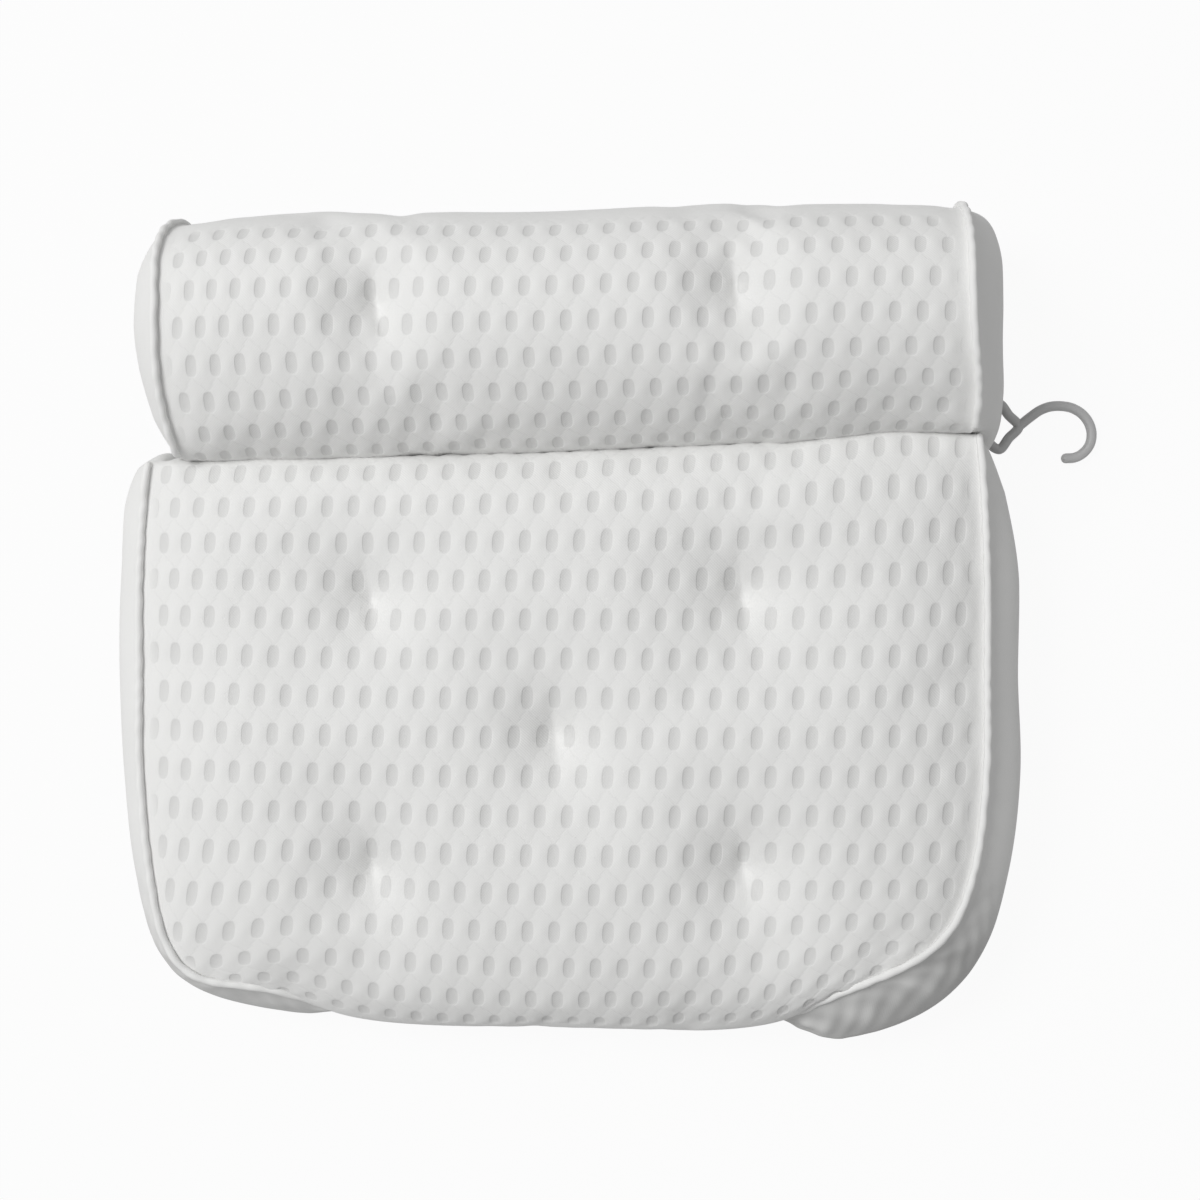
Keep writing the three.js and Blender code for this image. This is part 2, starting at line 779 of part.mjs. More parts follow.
// Ribbon loop: a drop-shaped loop round the hook's bar, its ends sewn under the back cover
function ribbonLoop() {
  const inner = rodRadius + clearance;
  const outer = inner + ribbonThickness;
  const seatX = rollHalfWidth * rollStationShares[1][5] - ribbonSeatInset;
  const seatHeight = backHeight - clearance - ribbonThickness;
  const run = hookBarX - seatX;
  const drop = seatHeight - hookHeight;
  const length = Math.hypot(run, drop);
  const outerAngle = Math.acos((outer - ribbonThickness) / length);
  const innerAngle = Math.acos(inner / (length - ribbonPinch));
  const outline = new THREE.Shape();
  outline.absarc(0, 0, outer, Math.PI - outerAngle, outerAngle - Math.PI, true);
  outline.lineTo(-length, -ribbonThickness);
  outline.lineTo(-length, ribbonThickness);
  outline.closePath();
  const opening = new THREE.Path();
  opening.absarc(0, 0, inner, innerAngle - Math.PI, Math.PI - innerAngle, false);
  opening.lineTo(ribbonPinch - length, 0);
  opening.closePath();
  outline.holes.push(opening);
  const loop = new THREE.ExtrudeGeometry(outline, {
    depth: ribbonWidth,
    bevelEnabled: false,
    curveSegments: 10,
  });
  loop.translate(0, 0, -ribbonWidth / 2);
  loop.rotateX(Math.PI / 2);
  loop.rotateY(Math.atan2(drop, run));
  loop.translate(hookBarX, hookBarY, hookHeight);
  return loop;
}

// Assembly
const assembly = new THREE.Group();

function place(name, geometry, finish, x = 0, y = 0, z = 0) {
  const mesh = new THREE.Mesh(geometry, finish);
  mesh.name = name;
  mesh.position.set(x, y, z);
  assembly.add(mesh);
}

function addCushion(spec) {
  const skin = buildSkin(spec);
  const label = spec.name;
  place(`${label}_front_cover`, clothPanel(skin, skin.front, pipingSetback, pipingSetback), meshCloth);
  place(`${label}_back_cover`, backCover(skin), sideCloth);
  place(`${label}_right_gusset`, clothPanel(skin, skin.right, pipingSetback, clothGap), sideCloth);
  place(`${label}_left_gusset`, clothPanel(skin, skin.left, clothGap, pipingSetback), sideCloth);
  place(`${label}_right_piping`, piping(skin, skin.right[0]), pipingCloth);
  place(`${label}_left_piping`, piping(skin, 0), pipingCloth);
  place(`${label}_fold_tape`, endTape(spec, skin, false), bindingCloth);
  place(`${label}_edge_tape`, endTape(spec, skin, true), bindingCloth);
  place(`${label}_filling`, fillingCore(spec, skin), filling);
  skin.tufts.forEach((tuft, k) => {
    const number = k + 1;
    place(`${label}_tuft_tie_${number}`, tuftTie(spec, skin, tuft), thread);
    place(`${label}_eyelet_${number}`, eyelet(), whitePlastic, tuft.x, tuft.y);
    place(`${label}_suction_cup_${number}`, suctionCup(), clearRubber, tuft.x, tuft.y);
  });
}

addCushion(panel);
addCushion(roll);
place('hook_loop', ribbonLoop(), bindingCloth);
place('hook', hook(), greyPlastic, hookBarX, hookBarY, hookHeight);

// The origin is the middle of the bottom of the whole part's box
assembly.updateMatrixWorld(true);
const bounds = new THREE.Box3().setFromObject(assembly, true);
const middle = bounds.getCenter(new THREE.Vector3());
assembly.position.set(-middle.x, -middle.y, -bounds.min.z);

export default assembly;
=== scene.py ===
import json
import math

import bmesh
import bpy
import numpy as np
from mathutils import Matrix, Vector

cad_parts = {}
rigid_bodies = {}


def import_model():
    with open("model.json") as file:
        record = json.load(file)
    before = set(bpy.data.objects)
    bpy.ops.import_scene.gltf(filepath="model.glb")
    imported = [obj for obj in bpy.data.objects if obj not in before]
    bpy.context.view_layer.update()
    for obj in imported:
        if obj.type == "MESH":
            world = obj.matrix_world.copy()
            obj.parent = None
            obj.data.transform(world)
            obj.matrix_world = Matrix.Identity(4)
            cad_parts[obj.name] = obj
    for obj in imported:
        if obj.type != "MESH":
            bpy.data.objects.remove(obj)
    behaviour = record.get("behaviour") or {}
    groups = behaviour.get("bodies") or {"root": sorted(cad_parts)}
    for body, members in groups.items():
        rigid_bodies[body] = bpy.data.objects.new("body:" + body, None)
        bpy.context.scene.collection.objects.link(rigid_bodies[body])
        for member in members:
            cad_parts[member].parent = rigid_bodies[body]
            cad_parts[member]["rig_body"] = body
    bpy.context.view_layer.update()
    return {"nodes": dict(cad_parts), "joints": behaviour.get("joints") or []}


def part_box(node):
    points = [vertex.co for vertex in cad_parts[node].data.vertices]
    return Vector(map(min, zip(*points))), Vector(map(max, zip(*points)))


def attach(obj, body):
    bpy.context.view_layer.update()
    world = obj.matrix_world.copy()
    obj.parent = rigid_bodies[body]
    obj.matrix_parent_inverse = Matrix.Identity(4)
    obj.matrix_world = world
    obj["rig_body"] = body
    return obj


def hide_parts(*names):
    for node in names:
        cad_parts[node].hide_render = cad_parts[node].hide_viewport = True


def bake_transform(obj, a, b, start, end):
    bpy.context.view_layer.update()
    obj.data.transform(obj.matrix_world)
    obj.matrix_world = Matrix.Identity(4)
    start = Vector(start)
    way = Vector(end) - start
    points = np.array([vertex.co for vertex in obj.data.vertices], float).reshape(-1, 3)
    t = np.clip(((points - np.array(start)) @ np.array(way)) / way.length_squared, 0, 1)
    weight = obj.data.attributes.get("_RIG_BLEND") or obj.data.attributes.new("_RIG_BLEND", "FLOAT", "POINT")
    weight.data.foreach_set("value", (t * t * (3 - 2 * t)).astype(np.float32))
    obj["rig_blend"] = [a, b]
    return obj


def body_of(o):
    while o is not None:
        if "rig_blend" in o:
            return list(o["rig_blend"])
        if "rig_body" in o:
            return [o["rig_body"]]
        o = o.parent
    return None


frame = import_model()
scene = bpy.context.scene

# Sizes of the two cushions, in metres

BACK_HEIGHT = 0.014
PANEL_THICKNESS = 0.057
ROLL_THICKNESS = 0.084
FOLD_HALF_GAP = 0.0004
PRESSED_IN = 0.001
PRESSED_REACH = 0.004
BAND_END_HEIGHT = 0.01
BAND_SAG_POWER = 1.15
ROW_BEND_POWER = 2.2
CROWN_POWER = 4.6
SQUARE_FROM, SQUARE_AT = 0.68, 0.9

PANEL_END = BAND_END_HEIGHT / PANEL_THICKNESS
ROLL_END = BAND_END_HEIGHT / ROLL_THICKNESS

# Each station gives, as shares: middle y, middle z, seam x, seam y, seam z, back seam x, back seam y,
# left swell, right swell
PANEL = {
    "name": "panel",
    "body": "lower_panel",
    "direction": -1,
    "half_width": 0.177,
    "length": 0.246,
    "thickness": PANEL_THICKNESS,
    "swell": 0.013,
    "tuft_depth": 0.014,
    "far_edge_squareness": 2.6,
    "front_shift": -0.0023,
    "fold_shift": 0.0,
    "knit_row": 0.487,
    "knit_tightness": (1.0, 1.0),
    "tufts": [(-0.44, 0.257), (0.44, 0.253), (0, 0.487), (-0.44, 0.718), (0.44, 0.71)],
    "stations": [
        [0, PANEL_END, 0.965, 0.003, PANEL_END, 0.965, 0.012, 0, 0],
        [0, 0.62, 0.972, 0.003, 0.56, 0.972, 0.016, 0.6, 0.08],
        [0.014, 0.82, 0.982, 0.01, 0.76, 0.98, 0.034, 0.95, 0.43],
        [0.085, 0.96, 0.992, 0.085, 0.78, 0.99, 0.1, 1.3, 0.87],
        [0.24, 1, 1, 0.23, 0.8, 1, 0.23, 1.25, 1.15],
        [0.4, 1.01, 1, 0.39, 0.8, 1, 0.39, 1.25, 1.17],
        [0.56, 1, 0.998, 0.55, 0.8, 1, 0.55, 1.14, 1.22],
        [0.72, 0.955, 0.972, 0.7, 0.77, 0.98, 0.71, 1.0, 1.22],
        [0.86, 0.82, 0.91, 0.81, 0.73, 0.925, 0.815, 0.92, 1.28],
        [0.957, 0.66, 0.8, 0.9, 0.67, 0.81, 0.905, 0.6, 1.4],
        [1, 0.4, 0.64, 0.958, 0.52, 0.65, 0.96, 0.45, 1.15],
        [0.992, PANEL_END, 0.49, 0.984, PANEL_END, 0.49, 0.98, 0, 0],
    ],
}

ROLL = {
    "name": "roll",
    "body": "head_roll",
    "direction": 1,
    "half_width": 0.166,
    "length": 0.101,
    "thickness": ROLL_THICKNESS,
    "swell": 0.016,
    "tuft_depth": 0.015,
    "far_edge_squareness": 0.5,
    "front_shift": 0.0,
    "fold_shift": 0.0045,
    "knit_row": 0.479,
    "knit_tightness": (1.025, 1.08),
    "tufts": [(-0.44, 0.57), (0.44, 0.62)],
    "stations": [
        [0, ROLL_END, 0.975, 0.006, ROLL_END, 0.972, 0.03, 0, 0],
        [0, 0.42, 0.985, 0.006, 0.41, 0.98, 0.035, 0.16, 0.7],
        [0.033, 0.65, 0.992, 0.024, 0.65, 0.99, 0.08, 0.55, 0.8],
        [0.15, 0.825, 1, 0.157, 0.785, 1, 0.21, 0.96, 0.82],
        [0.35, 0.95, 1, 0.35, 0.91, 1, 0.38, 1.16, 0.9],
        [0.57, 1, 1, 0.565, 0.96, 1, 0.55, 1.24, 1],
        [0.77, 0.93, 1, 0.76, 0.89, 1, 0.7, 1.17, 1],
        [0.925, 0.73, 0.995, 0.91, 0.7, 0.995, 0.79, 0.95, 0.9],
        [1, 0.42, 0.985, 0.98, 0.41, 0.985, 0.84, 0.75, 0.75],
        [0.97, 0.22, 0.975, 0.95, 0.22, 0.975, 0.87, 0.45, 0.45],
        [0.9, ROLL_END, 0.965, 0.89, ROLL_END, 0.965, 0.89, 0, 0],
    ],
}

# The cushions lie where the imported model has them


def joint_place(name):
    return next(j["pos_m"] for j in frame["joints"] if j["name"] == name)


CENTRE_X, FOLD_Y = joint_place("fold")[:2]

# Curves and surfaces of the cushions

TIME_STEPS = 1500
SHARE_STEPS = 2001


def unit(vectors):
    return vectors / np.maximum(np.linalg.norm(vectors, axis=-1, keepdims=True), 1e-12)


def run_along(line):
    """How far along a line of points each of them is"""
    return np.concatenate([[0], np.cumsum(np.linalg.norm(np.diff(line, axis=0), axis=1))])


def smooth_curve(points):
    """A curve through the points that doesn't loop where they crowd, as a function of times from 0 to 1"""
    points = np.asarray(points, float)
    held = np.vstack([2 * points[0] - points[1], points, 2 * points[-1] - points[-2]])

    def at(times):
        place = np.clip(np.asarray(times, float), 0, 1) * (len(points) - 1)
        span = np.minimum(place.astype(int), len(points) - 2)
        w = (place - span)[..., None]
        p0, p1, p2, p3 = (held[span + k] for k in range(4))
        d0, d1, d2 = (
            np.maximum(np.linalg.norm(b - a, axis=-1, keepdims=True), 1e-9) ** 0.5
            for a, b in ((p0, p1), (p1, p2), (p2, p3))
        )
        t1 = ((p1 - p0) / d0 - (p2 - p0) / (d0 + d1) + (p2 - p1) / d1) * d1
        t2 = ((p2 - p1) / d1 - (p3 - p1) / (d1 + d2) + (p3 - p2) / d2) * d1
        return p1 + w * (t1 + w * (3 * (p2 - p1) - 2 * t1 - t2 + w * (2 * (p1 - p2) + t1 + t2)))

    return at


def smooth_step(low, high, value):
    share = np.clip((value - low) / (high - low), 0, 1)
    return share * share * (3 - 2 * share)


def fade(distance, reach):
    return np.exp(-((distance / reach) ** 2))


def cushion_point(spec, x_share, y_share, z_share):
    return [
        x_share * spec["half_width"],
        spec["direction"] * y_share * spec["length"],
        BACK_HEIGHT + z_share * spec["thickness"],
    ]


def tuft_places(spec):
    return [cushion_point(spec, x_share, y_share, 0)[:2] for x_share, y_share in spec["tufts"]]


def cushion_curves(spec):
    """The curves of a cushion from the fold to its far edge, as functions of times from 0 to 1"""
    middle_y, middle_z, seam_x, seam_y, seam_z, back_x, back_y, left, right = np.array(spec["stations"]).T
    back_middle_y = middle_y[-1] * (back_y - back_y[0]) / (back_y[-1] - back_y[0])

    def through(x, y, z):
        return smooth_curve(np.transpose(np.broadcast_arrays(*cushion_point(spec, x, y, z))))

    return {
        "middle": through(0, middle_y, middle_z),
        "seam": through(seam_x, seam_y, seam_z),
        "back_middle": through(0, back_middle_y, 0),
        "back_seam": through(back_x, back_y, 0),
        "swells": smooth_curve(np.transpose([left, right, 0 * left])),
    }


def crown_point(spec, curves, times, shares):
    """The front of a cushion without its tufts"""
    middle, seam = curves["middle"](times), curves["seam"](times)
    reach = np.abs(shares)
    x = seam[..., 0] * shares
    power = ROW_BEND_POWER + spec["far_edge_squareness"] * smooth_step(SQUARE_FROM, SQUARE_AT, times)
    bend, drop = reach**power, reach**CROWN_POWER
    inward = (middle[..., 1] * (1 - bend) + seam[..., 1] * bend) * spec["direction"]
    inward = inward - PRESSED_IN * fade(inward, PRESSED_REACH)
    y = spec["direction"] * np.maximum(inward, -PRESSED_IN)
    z = middle[..., 2] * (1 - drop) + seam[..., 2] * drop
    return np.stack([x, y, z], -1)


def back_point(curves, times, shares):
    middle, seam = curves["back_middle"](times), curves["back_seam"](times)
    bend = np.abs(shares) ** ROW_BEND_POWER
    y = middle[..., 1] * (1 - bend) + seam[..., 1] * bend
    return np.stack([seam[..., 0] * shares, y, np.full_like(y, BACK_HEIGHT)], -1)


def band_point(spec, curves, times, shares, side):
    """The gusset of one side, from the front seam at share 0 to the back seam at share 1"""
    turn = np.array([side, 1, 1])
    front, back = curves["seam"](times) * turn, curves["back_seam"](times) * turn
    step = 1e-4
    along = (curves["back_seam"](times + step) - curves["back_seam"](times - step)) * turn
    outward = unit(np.stack([along[..., 1], -along[..., 0], np.zeros_like(along[..., 0])], -1))
    outward *= np.where(outward[..., :1] * front[..., :1] < 0, -1, 1)
    swells = curves["swells"](times)[..., 0 if side < 0 else 1]
    swell = spec["swell"] * swells * np.sin(np.pi * shares**BAND_SAG_POWER)
    level = front * (1 - shares[..., None]) + back * shares[..., None]
    return level + outward * swell[..., None]


def even_times(curves, count, names):
    """Times that step evenly along the named curves, taken together"""
    dense = np.linspace(0, 1, TIME_STEPS)
    total = np.zeros(len(dense))
    for name in names:
        steps = np.linalg.norm(np.diff(curves[name](dense), axis=0), axis=1)
        total[1:] += np.cumsum(steps) / steps.sum()
    return np.interp(np.linspace(0, total[-1], count), total, dense)


def even_shares(spec, curves, count):
    """Shares from seam to seam that step evenly over the crown, also where it drops to the seam"""
    dense = np.linspace(-1, 1, SHARE_STEPS)
    half_way = np.full_like(dense, 0.5)
    travel = run_along(crown_point(spec, curves, half_way, dense))
    return np.interp(np.linspace(0, travel[-1], count), travel, dense)


def surface_normals(points, facing):
    """Normals of a grid of points, turned to the side that facing points to"""
    down, across = np.gradient(points, axis=0), np.gradient(points, axis=1)
    normals = unit(np.cross(across, down))
    middle = normals[normals.shape[0] // 2, normals.shape[1] // 2]
    return normals if np.dot(middle, facing) > 0 else -normals


def travelled(points, axis, zero):
    """How far each point of a grid is from the row or column number zero, measured over the cloth"""
    steps = np.linalg.norm(np.diff(points, axis=axis), axis=-1)
    run = np.insert(np.cumsum(steps, axis=axis), 0, 0, axis=axis)
    return run - np.take(run, [zero], axis=axis)


# Hand-sewn unevenness: the crease of the fold slants, and the fronts sit a little askew

FOLD_SLANT = 0.026
FOLD_SLANT_REACH = 0.045
FOLD_SLANT_HEIGHTS = (0.016, 0.045)
FOLD_SHIFT_REACH = 0.035
SHIFT_HEIGHTS = (0.016, 0.034)

# Places where the real cushions are fuller or slacker: x, y, push along x, y and z, reach
UNEVEN_HEIGHTS = (0.006, 0.03)
UNEVEN_PLACES = (
    (-0.152, -0.212, -0.008, -0.01, 0.0, 0.036),
    (0.17, -0.213, 0.0026, -0.0016, 0.0, 0.03),
    (-0.012, 0.101, 0.0, -0.0028, 0.0, 0.06),
    (-0.17, 0.101, 0.0, -0.0016, 0.0, 0.04),
    (0.133, 0.0, 0.0, 0.0034, 0.0, 0.026),
)
# Places where only the front and its seam are drawn up or in, so that more of the gusset shows
DRAWN_UP_HEIGHTS = (0.028, 0.046)
DRAWN_UP_PLACES = (
    (0.132, -0.232, -0.001, 0.0075, 0.0075, 0.04),
    (-0.128, -0.236, 0.0, 0.0065, 0.002, 0.03),
    (-0.163, 0.06, 0.0038, 0.0, 0.0, 0.028),
)


def settled_in_place(points, spec=None):
    """From the cushions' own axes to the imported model's place, with the unevenness of the real pillow"""
    x, y, z = points[..., 0], points[..., 1], points[..., 2]
    moved = np.array(points, float) + np.array([CENTRE_X, FOLD_Y, 0])
    slant = FOLD_SLANT * x * smooth_step(*FOLD_SLANT_HEIGHTS, z)
    moved[..., 1] += slant * fade(y, FOLD_SLANT_REACH)
    for places, heights in ((UNEVEN_PLACES, UNEVEN_HEIGHTS), (DRAWN_UP_PLACES, DRAWN_UP_HEIGHTS)):
        held = smooth_step(*heights, z)
        for place_x, place_y, *push, reach in places:
            near = np.exp(-((x - place_x) ** 2 + (y - place_y) ** 2) / reach**2) * held
            moved += near[..., None] * np.array(push)
    if spec:
        aside = spec["front_shift"] + spec["fold_shift"] * fade(y, FOLD_SHIFT_REACH)
        moved[..., 0] += aside * smooth_step(*SHIFT_HEIGHTS, z)
    return moved


# Cloth pieces as meshes


def added(name, data):
    piece = bpy.data.objects.new(name, data)
    scene.collection.objects.link(piece)
    return piece


def mesh_object(name, corners, faces, cloth_map=None, marks=None):
    mesh = bpy.data.meshes.new(name)
    faces = np.asarray(faces, int)
    mesh.from_pydata(np.asarray(corners, float).reshape(-1, 3), [], faces, shade_flat=False)
    if cloth_map is not None:
        layer = mesh.uv_layers.new(name="cloth")
        layer.data.foreach_set("uv", cloth_map.reshape(-1, 2)[faces.ravel()].astype(np.float32).ravel())
    for mark, values in (marks or {}).items():
        attribute = mesh.attributes.new(mark, "FLOAT", "POINT")
        attribute.data.foreach_set("value", values.astype(np.float32).ravel())
    mesh.validate()
    return added(name, mesh)


def grid_faces(rows, columns, round_columns=False, turned=False):
    last = columns if round_columns else columns - 1
    row, column = np.meshgrid(np.arange(rows - 1), np.arange(last), indexing="ij")
    after, here, below = (column + 1) % columns, row * columns, (row + 1) * columns
    quads = [here + column, here + after, below + after, below + column]
    faces = np.stack(quads[::-1] if turned else quads, -1)
    return faces.reshape(-1, 4)


def faces_toward(points, facing):
    """The faces of a grid of points, turned to the side that facing points to"""
    rows, columns = points.shape[:2]
    middle, after = points[rows // 2, columns // 2 :][:2]
    normal = np.cross(after - middle, points[rows // 2 + 1, columns // 2] - middle)
    return grid_faces(rows, columns, turned=np.dot(normal, facing) < 0)


def cloth_piece(name, points, facing, across, along, marks=None, spec=None):
    """A sheet of cloth from a grid of points, in its place, with how far across and along it each point is"""
    faces, cloth_map = faces_toward(points, facing), np.stack([across, along], -1)
    return mesh_object(name, settled_in_place(points, spec), faces, cloth_map, marks)


# The mesh knit: staggered tall holes, plump ridges beside them and creases from hole to hole

COLUMN_PITCH = 0.0111
ROW_PITCH = 0.0161
HOLE_HALF_WIDTH = 0.0024
HOLE_HALF_HEIGHT = 0.0047
HOLE_LEAN = 0.06
HOLE_DEPTH = 0.0005
HOLE_SIDES = (0.6, 1.2)
RIDGE_RISE = 0.0004
RIDGE_HALF_WIDTH = 0.002
RIDGE_HALF_HEIGHT = 1.1 * HOLE_HALF_HEIGHT
CREASE_DEPTH = 0.00015
CREASE_HALF_WIDTH = 0.0006
CREASE_SLOPE = (COLUMN_PITCH / 2) / (ROW_PITCH - 2 * HOLE_HALF_HEIGHT)
CREASE_START = (-0.001, 0.0005)
PLAIN_BORDER = 0.009


def knit_pattern(u, v, border):
    """Rise of the mesh knit at each place, and how fully the knit is formed there, from 0 to 1"""
    row = np.round(v / ROW_PITCH)
    stagger = 0.5 * np.mod(row + 1, 2)
    column = np.round(u / COLUMN_PITCH - stagger) + stagger
    dv = v - row * ROW_PITCH
    du = u - column * COLUMN_PITCH - HOLE_LEAN * dv
    inside = np.hypot(du / HOLE_HALF_WIDTH, dv / HOLE_HALF_HEIGHT)
    hole = 1 - smooth_step(*HOLE_SIDES, inside)
    ridge = fade(np.abs(du) - COLUMN_PITCH / 2, RIDGE_HALF_WIDTH) * fade(dv, RIDGE_HALF_HEIGHT)
    past = np.abs(dv) - HOLE_HALF_HEIGHT
    crease = fade(np.abs(du) - past * CREASE_SLOPE, CREASE_HALF_WIDTH) * smooth_step(*CREASE_START, past)
    formed = smooth_step(0.25 * PLAIN_BORDER, PLAIN_BORDER, border)
    rise = RIDGE_RISE * ridge - HOLE_DEPTH * hole - CREASE_DEPTH * crease
    return rise * formed, formed


# Tufts: a wide funnel with a short upright crease in its middle

FUNNEL_RADIUS = 0.024
FUNNEL_RIM = 0.2
FUNNEL_SHARE = 0.68
FUNNEL_STRETCH = 0.8
CREASE_HALF_SPREAD = 0.006
CREASE_HALF_LENGTH = 0.0125
CREASE_ROUNDING = 0.001
CREASE_LEAN = -0.12
TUFT_FULLNESS = 1.05


def tuft_drop(spec, points):
    """How far the tufts draw the front down at each point"""
    drop = np.zeros(points.shape[:-1])
    for tuft_x, tuft_y in tuft_places(spec):
        dx, dy = points[..., 0] - tuft_x, points[..., 1] - tuft_y
        across = np.sqrt((dx - CREASE_LEAN * dy) ** 2 + CREASE_ROUNDING**2) - CREASE_ROUNDING
        away = np.sqrt(across**2 + (FUNNEL_STRETCH * dy) ** 2 + CREASE_ROUNDING**2)
        inward = 1 - away / FUNNEL_RADIUS
        funnel = 0.5 * (inward + np.sqrt(inward**2 + FUNNEL_RIM**2))
        crease = np.exp(-across / CREASE_HALF_SPREAD - (dy / CREASE_HALF_LENGTH) ** 2)
        shape = FUNNEL_SHARE * funnel + (1 - FUNNEL_SHARE) * crease
        drop += TUFT_FULLNESS * spec["tuft_depth"] * shape
    return drop


# Cloth simulation: each front is sewn fast along its edge and at its tufts, and the filling presses it out

SETTLING_FRAMES = 24
COVER_PRESSURE = 2.0
COVER_SLACK = 0.006
MOST_PRESSED_OUT = 0.004
COARSE_LEAST = 20
TIE_REACH = 0.0045
TIE_STRETCH = 0.6
TIE_HOLD = 0.6
TIE_HOLD_DEPTHS = (0.05, 0.5)


def front_grid(spec, curves, rows, columns):
    """Points that lie evenly over the front of a cushion, without its tufts"""
    times = even_times(curves, rows, ["middle", "seam"])
    shares = even_shares(spec, curves, columns)
    return crown_point(spec, curves, *np.meshgrid(times, shares, indexing="ij"))


def spread_over(coarse, rows, columns):
    """Values of a coarse grid on a fine one, smoothly"""
    step = max(rows // coarse.shape[0], columns // coarse.shape[1], 1)
    window = np.hanning(2 * step + 3)[1:-1]
    window /= window.sum()
    fine = coarse
    for axis, count in ((1, columns), (0, rows)):
        place = np.linspace(0, fine.shape[axis] - 1, count)
        before = np.minimum(place.astype(int), fine.shape[axis] - 2)
        share = np.expand_dims(place - before, (1, 2) if axis == 0 else (0, 2))
        fine = np.take(fine, before, axis) * (1 - share) + np.take(fine, before + 1, axis) * share
    for axis in (0, 1):
        pad = [(0, 0)] * 3
        pad[axis] = (step, step)
        held = np.pad(fine, pad, mode="reflect", reflect_type="odd")
        fine = sum(w * np.take(held, range(k, k + fine.shape[axis]), axis) for k, w in enumerate(window))
    return fine


def pressed_out(name, points, sewn):
    """How far each point of a grid moves when the filling presses the cloth out"""
    sheet = mesh_object(name, points, faces_toward(points, (0, 0, 1)))
    group = sheet.vertex_groups.new(name="sewn")
    group.add(np.flatnonzero(sewn.ravel()).tolist(), 1.0, "REPLACE")
    modifier = sheet.modifiers.new("cloth", "CLOTH")
    cloth = modifier.settings
    cloth.quality, cloth.mass = 8, 0.25
    cloth.tension_stiffness = cloth.compression_stiffness = 12
    cloth.shear_stiffness, cloth.bending_stiffness = 6, 0.35
    cloth.air_damping = 4
    cloth.vertex_group_mass = "sewn"
    cloth.shrink_min = -COVER_SLACK
    cloth.use_pressure = True
    cloth.uniform_pressure_force = COVER_PRESSURE
    cloth.effector_weights.gravity = 0
    modifier.collision_settings.use_collision = False
    modifier.point_cache.frame_start, modifier.point_cache.frame_end = 1, SETTLING_FRAMES
    for frame_number in range(1, SETTLING_FRAMES + 1):
        scene.frame_set(frame_number)
    graph = bpy.context.evaluated_depsgraph_get()
    made = sheet.evaluated_get(graph).to_mesh()
    places = np.zeros(points.size, np.float32)
    made.vertices.foreach_get("co", places)
    bpy.data.objects.remove(sheet, do_unlink=True)
    scene.frame_set(1)
    moved = places.reshape(points.shape).astype(float) - points
    size = np.maximum(np.linalg.norm(moved, axis=-1, keepdims=True), 1e-12)
    return moved * np.minimum(1, MOST_PRESSED_OUT / size)


def settled_cover(spec, curves, rows, columns):
    """Movement of the front cover's cloth on its fine grid, from a simulation on a coarse one"""
    cloth = front_grid(spec, curves, max(rows // 5, COARSE_LEAST), max(columns // 6, COARSE_LEAST))
    sewn = np.zeros(cloth.shape[:2], bool)
    sewn[[0, -1]] = True
    sewn[:, [0, -1]] = True
    front = cloth[..., 2] > BACK_HEIGHT + 0.5 * spec["thickness"]
    for tuft_x, tuft_y in tuft_places(spec):
        away = np.hypot(cloth[..., 0] - tuft_x, (cloth[..., 1] - tuft_y) * TIE_STRETCH)
        sewn |= (away < TIE_REACH) & front
    cloth[..., 2] -= tuft_drop(spec, cloth)
    moved = pressed_out(spec["name"] + "_settling", cloth, sewn)
    drawn_in = np.clip(tuft_drop(spec, cloth) / spec["tuft_depth"], 0, 1)
    free = 1 - TIE_HOLD * smooth_step(*TIE_HOLD_DEPTHS, drawn_in)
    return spread_over(moved * free[..., None], rows, columns)


# Front covers: the knit fades where the cover turns down to its far edge, and a groove runs beside the piping

FAR_HALF = (0.4, 0.6)
TURNED_DOWN = (0.42, 0.74)
GROOVE_DEPTH = 0.001
GROOVE_PLACE = 0.0034
GROOVE_FROM_FOLD = (0.02, 0.045)
GROOVE_FROM_FAR_EDGE = (0, 0.008)


def front_cover(spec, curves, rows, columns):
    smooth = front_grid(spec, curves, rows, columns)
    u = travelled(smooth, 1, columns // 2)
    v = travelled(smooth, 0, rows // 2)
    cloth = smooth.copy()
    cloth[..., 2] -= tuft_drop(spec, smooth)
    cloth += settled_cover(spec, curves, rows, columns)
    from_seam = np.minimum(np.abs(u - u[:, :1]), np.abs(u - u[:, -1:]))
    from_fold, from_far_edge = np.abs(v - v[:1]), np.abs(v - v[-1:])
    inward = smooth[..., 1] * spec["direction"]
    turned_down = 1 - smooth_step(*TURNED_DOWN, surface_normals(smooth, (0, 0, 1))[..., 2])
    border = np.minimum(from_seam, np.minimum(from_fold, from_far_edge))
    border = border * (1 - smooth_step(*FAR_HALF, inward / spec["length"]) * turned_down)
    row_at = np.argmin(np.abs(inward[:, columns // 2] - spec["knit_row"] * spec["length"]))
    u = u * spec["knit_tightness"][0]
    v = (v - v[row_at, columns // 2]) * spec["knit_tightness"][1] * spec["direction"]
    rise, formed = knit_pattern(u, v, border)
    groove = (from_seam / GROOVE_PLACE) * np.exp(1 - from_seam / GROOVE_PLACE)
    groove = groove * smooth_step(*GROOVE_FROM_FOLD, from_fold)
    groove = groove * smooth_step(*GROOVE_FROM_FAR_EDGE, from_far_edge)
    cloth += surface_normals(cloth, (0, 0, 1)) * (rise - GROOVE_DEPTH * groove)[..., None]
    name = spec["name"] + "_mesh_cover"
    return cloth_piece(name, cloth, (0, 0, 1), u, v, {"formed_knit": formed}, spec)
